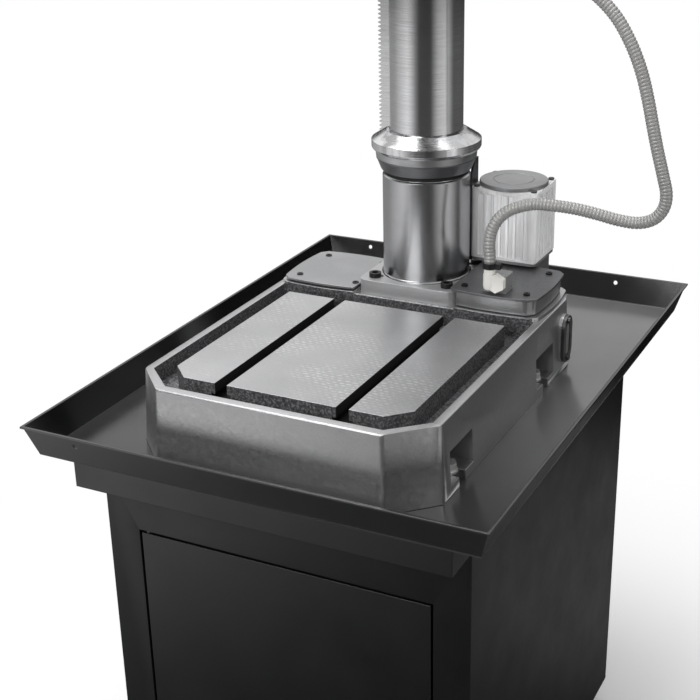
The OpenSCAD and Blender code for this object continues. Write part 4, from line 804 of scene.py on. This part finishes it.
def makeBase(b=base):
    bm = mergedCopy("base_casting")
    for y in b["seams"]:  # keeps the deck's face round the trough apart from the bosses behind it
        bmesh.ops.bisect_plane(bm, geom=bm.verts[:] + bm.edges[:] + bm.faces[:], dist=b["seamReach"] * mm,
                               plane_co=(0, y * mm, 0), plane_no=(0, 1, 0))
    roundOff(bm, lambda p, d, e: abs(d.z) > b["level"] and onOutline(p) and e.calc_length() > b["tall"] * mm,
             b["corner"], b["cornerSteps"], b["cornerTurn"])
    roundOff(bm, lambda p, d, e: near(p.z, b["deckZ"]) and abs(d.z) < 1 - b["level"] and onOutline(p),
             b["rim"], b["rimSteps"], b["rimTurn"])
    for face in bm.faces:
        p, level = face.calc_center_median() / mm, face.normal.z > b["level"]
        overPads = within(p, b["padX"], b["padFront"], b["padBack"])
        atSlot = abs(abs(p.x) - b["slotX"]) < b["slotWide"] + b["margin"]
        overTrough = within(p, b["troughX"], b["troughFront"], b["troughBack"])
        overBead = abs(p.x) < b["beadX"] and -b["margin"] < p.y - b["troughBack"] < b["beadDeep"]
        if level and near(p.z, b["deckZ"]):
            face.material_index = 0
        elif overPads and level and near(p.z, b["padZ"], b["padReach"]):
            face.material_index = 1
        elif overPads and atSlot and p.z > b["troughZ"] - b["slotBelow"]:
            face.material_index = 3
        elif overTrough and p.z > b["troughZ"] - b["margin"]:
            face.material_index = 2
        elif overBead and p.z > b["deckZ"] - b["margin"]:
            face.material_index = 4
    piece = newPiece("baseCasting", bm, [basePaint, padSteel, troughIron, slotDark, beadIron], b["smooth"])
    bevelModifier(piece, b["other"] * mm, b["otherTurn"], clamp=False)
    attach(piece, "frame")
    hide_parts("base_casting")


makeBase()
print("base casting made")


# Studio: white surroundings, pale floor, soft lamps. Reflections see the floor darker or lighter by its
# distance from the machine, by its bearing round the column from the camera's side, and in three spots
studio = dict(ambient=0.6, frontGlow=0.06, leftPull=0.9, backFrom=0.1, backTo=0.9, floor=0.9, floorRough=0.9,
              floorSize=40, whiteFrom=0.5, whiteTo=1.3, lowFrom=0.12, lowTo=0.36, highFrom=0.5, highTo=0.75,
              high=0.85, column=(0, 0.167), flagTo=(0.522, -0.853), farFrom=7.0, farTo=10.0, farthest=0.04,
              dimCentre=(0.45, 0.4), dimFrom=1.35, dimTo=2.3, dimmest=0.08,
              ring=((-180, 0.3), (-120, 0.5), (-95, 0.85), (-68, 1.2), (-56, 0.9), (-42, 0.35), (-30, 0.08),
                    (6, 0.09), (28, 0.75), (52, 1.0), (68, 0.5), (82, 0.15), (110, 0.15), (128, 0.12),
                    (155, 0.1), (180, 0.3)),
              shadeCentre=(1.6, 1.9), shadeFrom=0.9, shadeTo=1.8, shade=0.1,
              glowCentre=(0.6, 0.85), glowFrom=0.3, glowTo=0.8, glow=0.2)


def makeWorld():
    world = bpy.data.worlds.new("studio")
    scene.world = world
    world.use_nodes = True
    tree = world.node_tree
    tree.nodes.clear()

    def add(kind, *inputs, **settings):
        made = tree.nodes.new(kind)
        for key, value in settings.items():
            setattr(made, key, value)
        for socket, value in zip(made.inputs, inputs):
            if isinstance(value, bpy.types.NodeSocket):
                tree.links.new(value, socket)
            else:
                socket.default_value = value
        return made.outputs

    def maths(operation, a, b):
        return add("ShaderNodeMath", a, b, operation=operation)[0]

    def ramp(*inputs):
        return add("ShaderNodeMapRange", *inputs, interpolation_type="SMOOTHSTEP")[0]

    path = add("ShaderNodeLightPath")
    heading = add("ShaderNodeSeparateXYZ", add("ShaderNodeTexCoord")["Generated"])
    back = maths("SUBTRACT", heading["Y"], maths("MULTIPLY", heading["X"], studio["leftPull"]))
    white = ramp(back, studio["backFrom"], studio["backTo"], studio["frontGlow"], 1.0)
    low = ramp(heading["Z"], studio["lowFrom"], studio["lowTo"], 0.0, 1.0)
    high = ramp(heading["Z"], studio["highFrom"], studio["highTo"], 0.0, studio["high"])
    white = maths("MAXIMUM", maths("MULTIPLY", white, low), high)
    seen = maths("MAXIMUM", path["Is Camera Ray"], path["Is Transmission Ray"])
    ambient = maths("MULTIPLY", maths("SUBTRACT", 1.0, path["Is Glossy Ray"]), studio["ambient"])
    level = maths("ADD", maths("MULTIPLY", path["Is Glossy Ray"], white), ambient)
    level = maths("MAXIMUM", level, seen)
    glow = add("ShaderNodeBackground", (1, 1, 1, 1), level)
    add("ShaderNodeOutputWorld", glow[0])


def makeFloor():
    bm = bmesh.new()
    bmesh.ops.create_grid(bm, x_segments=1, y_segments=1, size=studio["floorSize"] / 2)
    look = Finish("floorWhite", (studio["floor"],) * 3, studio["floorRough"])
    floor = newPiece("studioFloor", bm, [look])
    x, y, _ = look.split()
    path = look.add("ShaderNodeLightPath")
    shown, mirrored = path.outputs["Is Camera Ray"], path.outputs["Is Glossy Ray"]

    def distance(cx, cy):
        dx, dy = look.minus(x, cx), look.minus(y, cy)
        return look.maths("SQRT", look.plus(look.times(dx, dx), look.times(dy, dy)))

    far = distance(0.0, 0.0)
    fromX, fromY = look.minus(x, studio["column"][0]), look.minus(y, studio["column"][1])
    ahead, beside = studio["flagTo"], (-studio["flagTo"][1], studio["flagTo"][0])
    along = look.plus(look.times(fromX, ahead[0]), look.times(fromY, ahead[1]))
    across = look.plus(look.times(fromX, beside[0]), look.times(fromY, beside[1]))
    ramp = look.add("ShaderNodeValToRGB")
    look.join(look.fit(look.maths("ARCTAN2", across, along), -math.pi, math.pi), ramp.inputs["Fac"])
    stops = ramp.color_ramp.elements
    for turn, _ in studio["ring"][1:-1]:
        stops.new((turn + 180) / 360)
    for stop, (turn, bright) in zip(stops, studio["ring"]):
        stop.position, stop.color = (turn + 180) / 360, (bright, bright, bright, 1)

    def spot(kind, inside, outside):
        reach = distance(*studio[kind + "Centre"])
        return look.fit(reach, studio[kind + "From"], studio[kind + "To"], inside, outside, True)

    level = spot("dim", studio["dimmest"], 1)
    horizon = look.fit(far, studio["farFrom"], studio["farTo"], 1, studio["farthest"], True)
    for share in (ramp.outputs["Color"], horizon, spot("shade", studio["shade"], 1)):
        level = look.times(level, share)
    glow = spot("glow", studio["glow"], 0)
    level = look.maths("MAXIMUM", look.maths("MAXIMUM", level, glow), shown)
    white = look.fit(far, studio["whiteFrom"], studio["whiteTo"], smooth=True)
    amount = look.maths("MAXIMUM", look.times(shown, white), mirrored)
    lit = look.add("ShaderNodeEmission")
    look.join(level, lit.inputs["Strength"])
    both = look.add("ShaderNodeMixShader")
    look.join(amount, both.inputs["Fac"])
    look.tree.links.new(look.shader.outputs[0], both.inputs[1])
    look.tree.links.new(lit.outputs[0], both.inputs[2])
    look.tree.links.new(both.outputs[0], look.tree.nodes["Material Output"].inputs["Surface"])


lamps = [dict(name="topSoftbox", place=(-0.8, 0.2, 4.2), aim=(0, 0, 0.8), size=(3.0, 2.4), power=95),
         dict(name="frontSoftbox", place=(-0.6, -3.4, 2.6), aim=(0, -0.1, 0.9), size=(2.2, 1.4), power=62),
         dict(name="rightSoftbox", place=(3.4, -0.4, 2.6), aim=(0, 0, 1.1), size=(0.8, 2.2), power=12)]


def makeLamp(lamp):
    data = bpy.data.lights.new(lamp["name"], "AREA")
    data.shape = "RECTANGLE"
    data.size, data.size_y, data.energy = *lamp["size"], lamp["power"]
    rig = bpy.data.objects.new(lamp["name"], data)
    away = (Vector(lamp["place"]) - Vector(lamp["aim"])).to_track_quat("Z", "Y")
    rig.matrix_world = Matrix.Translation(lamp["place"]) @ away.to_matrix().to_4x4()
    scene.collection.objects.link(rig)


makeWorld()
makeFloor()
for lamp in lamps:
    makeLamp(lamp)
print("studio lit")
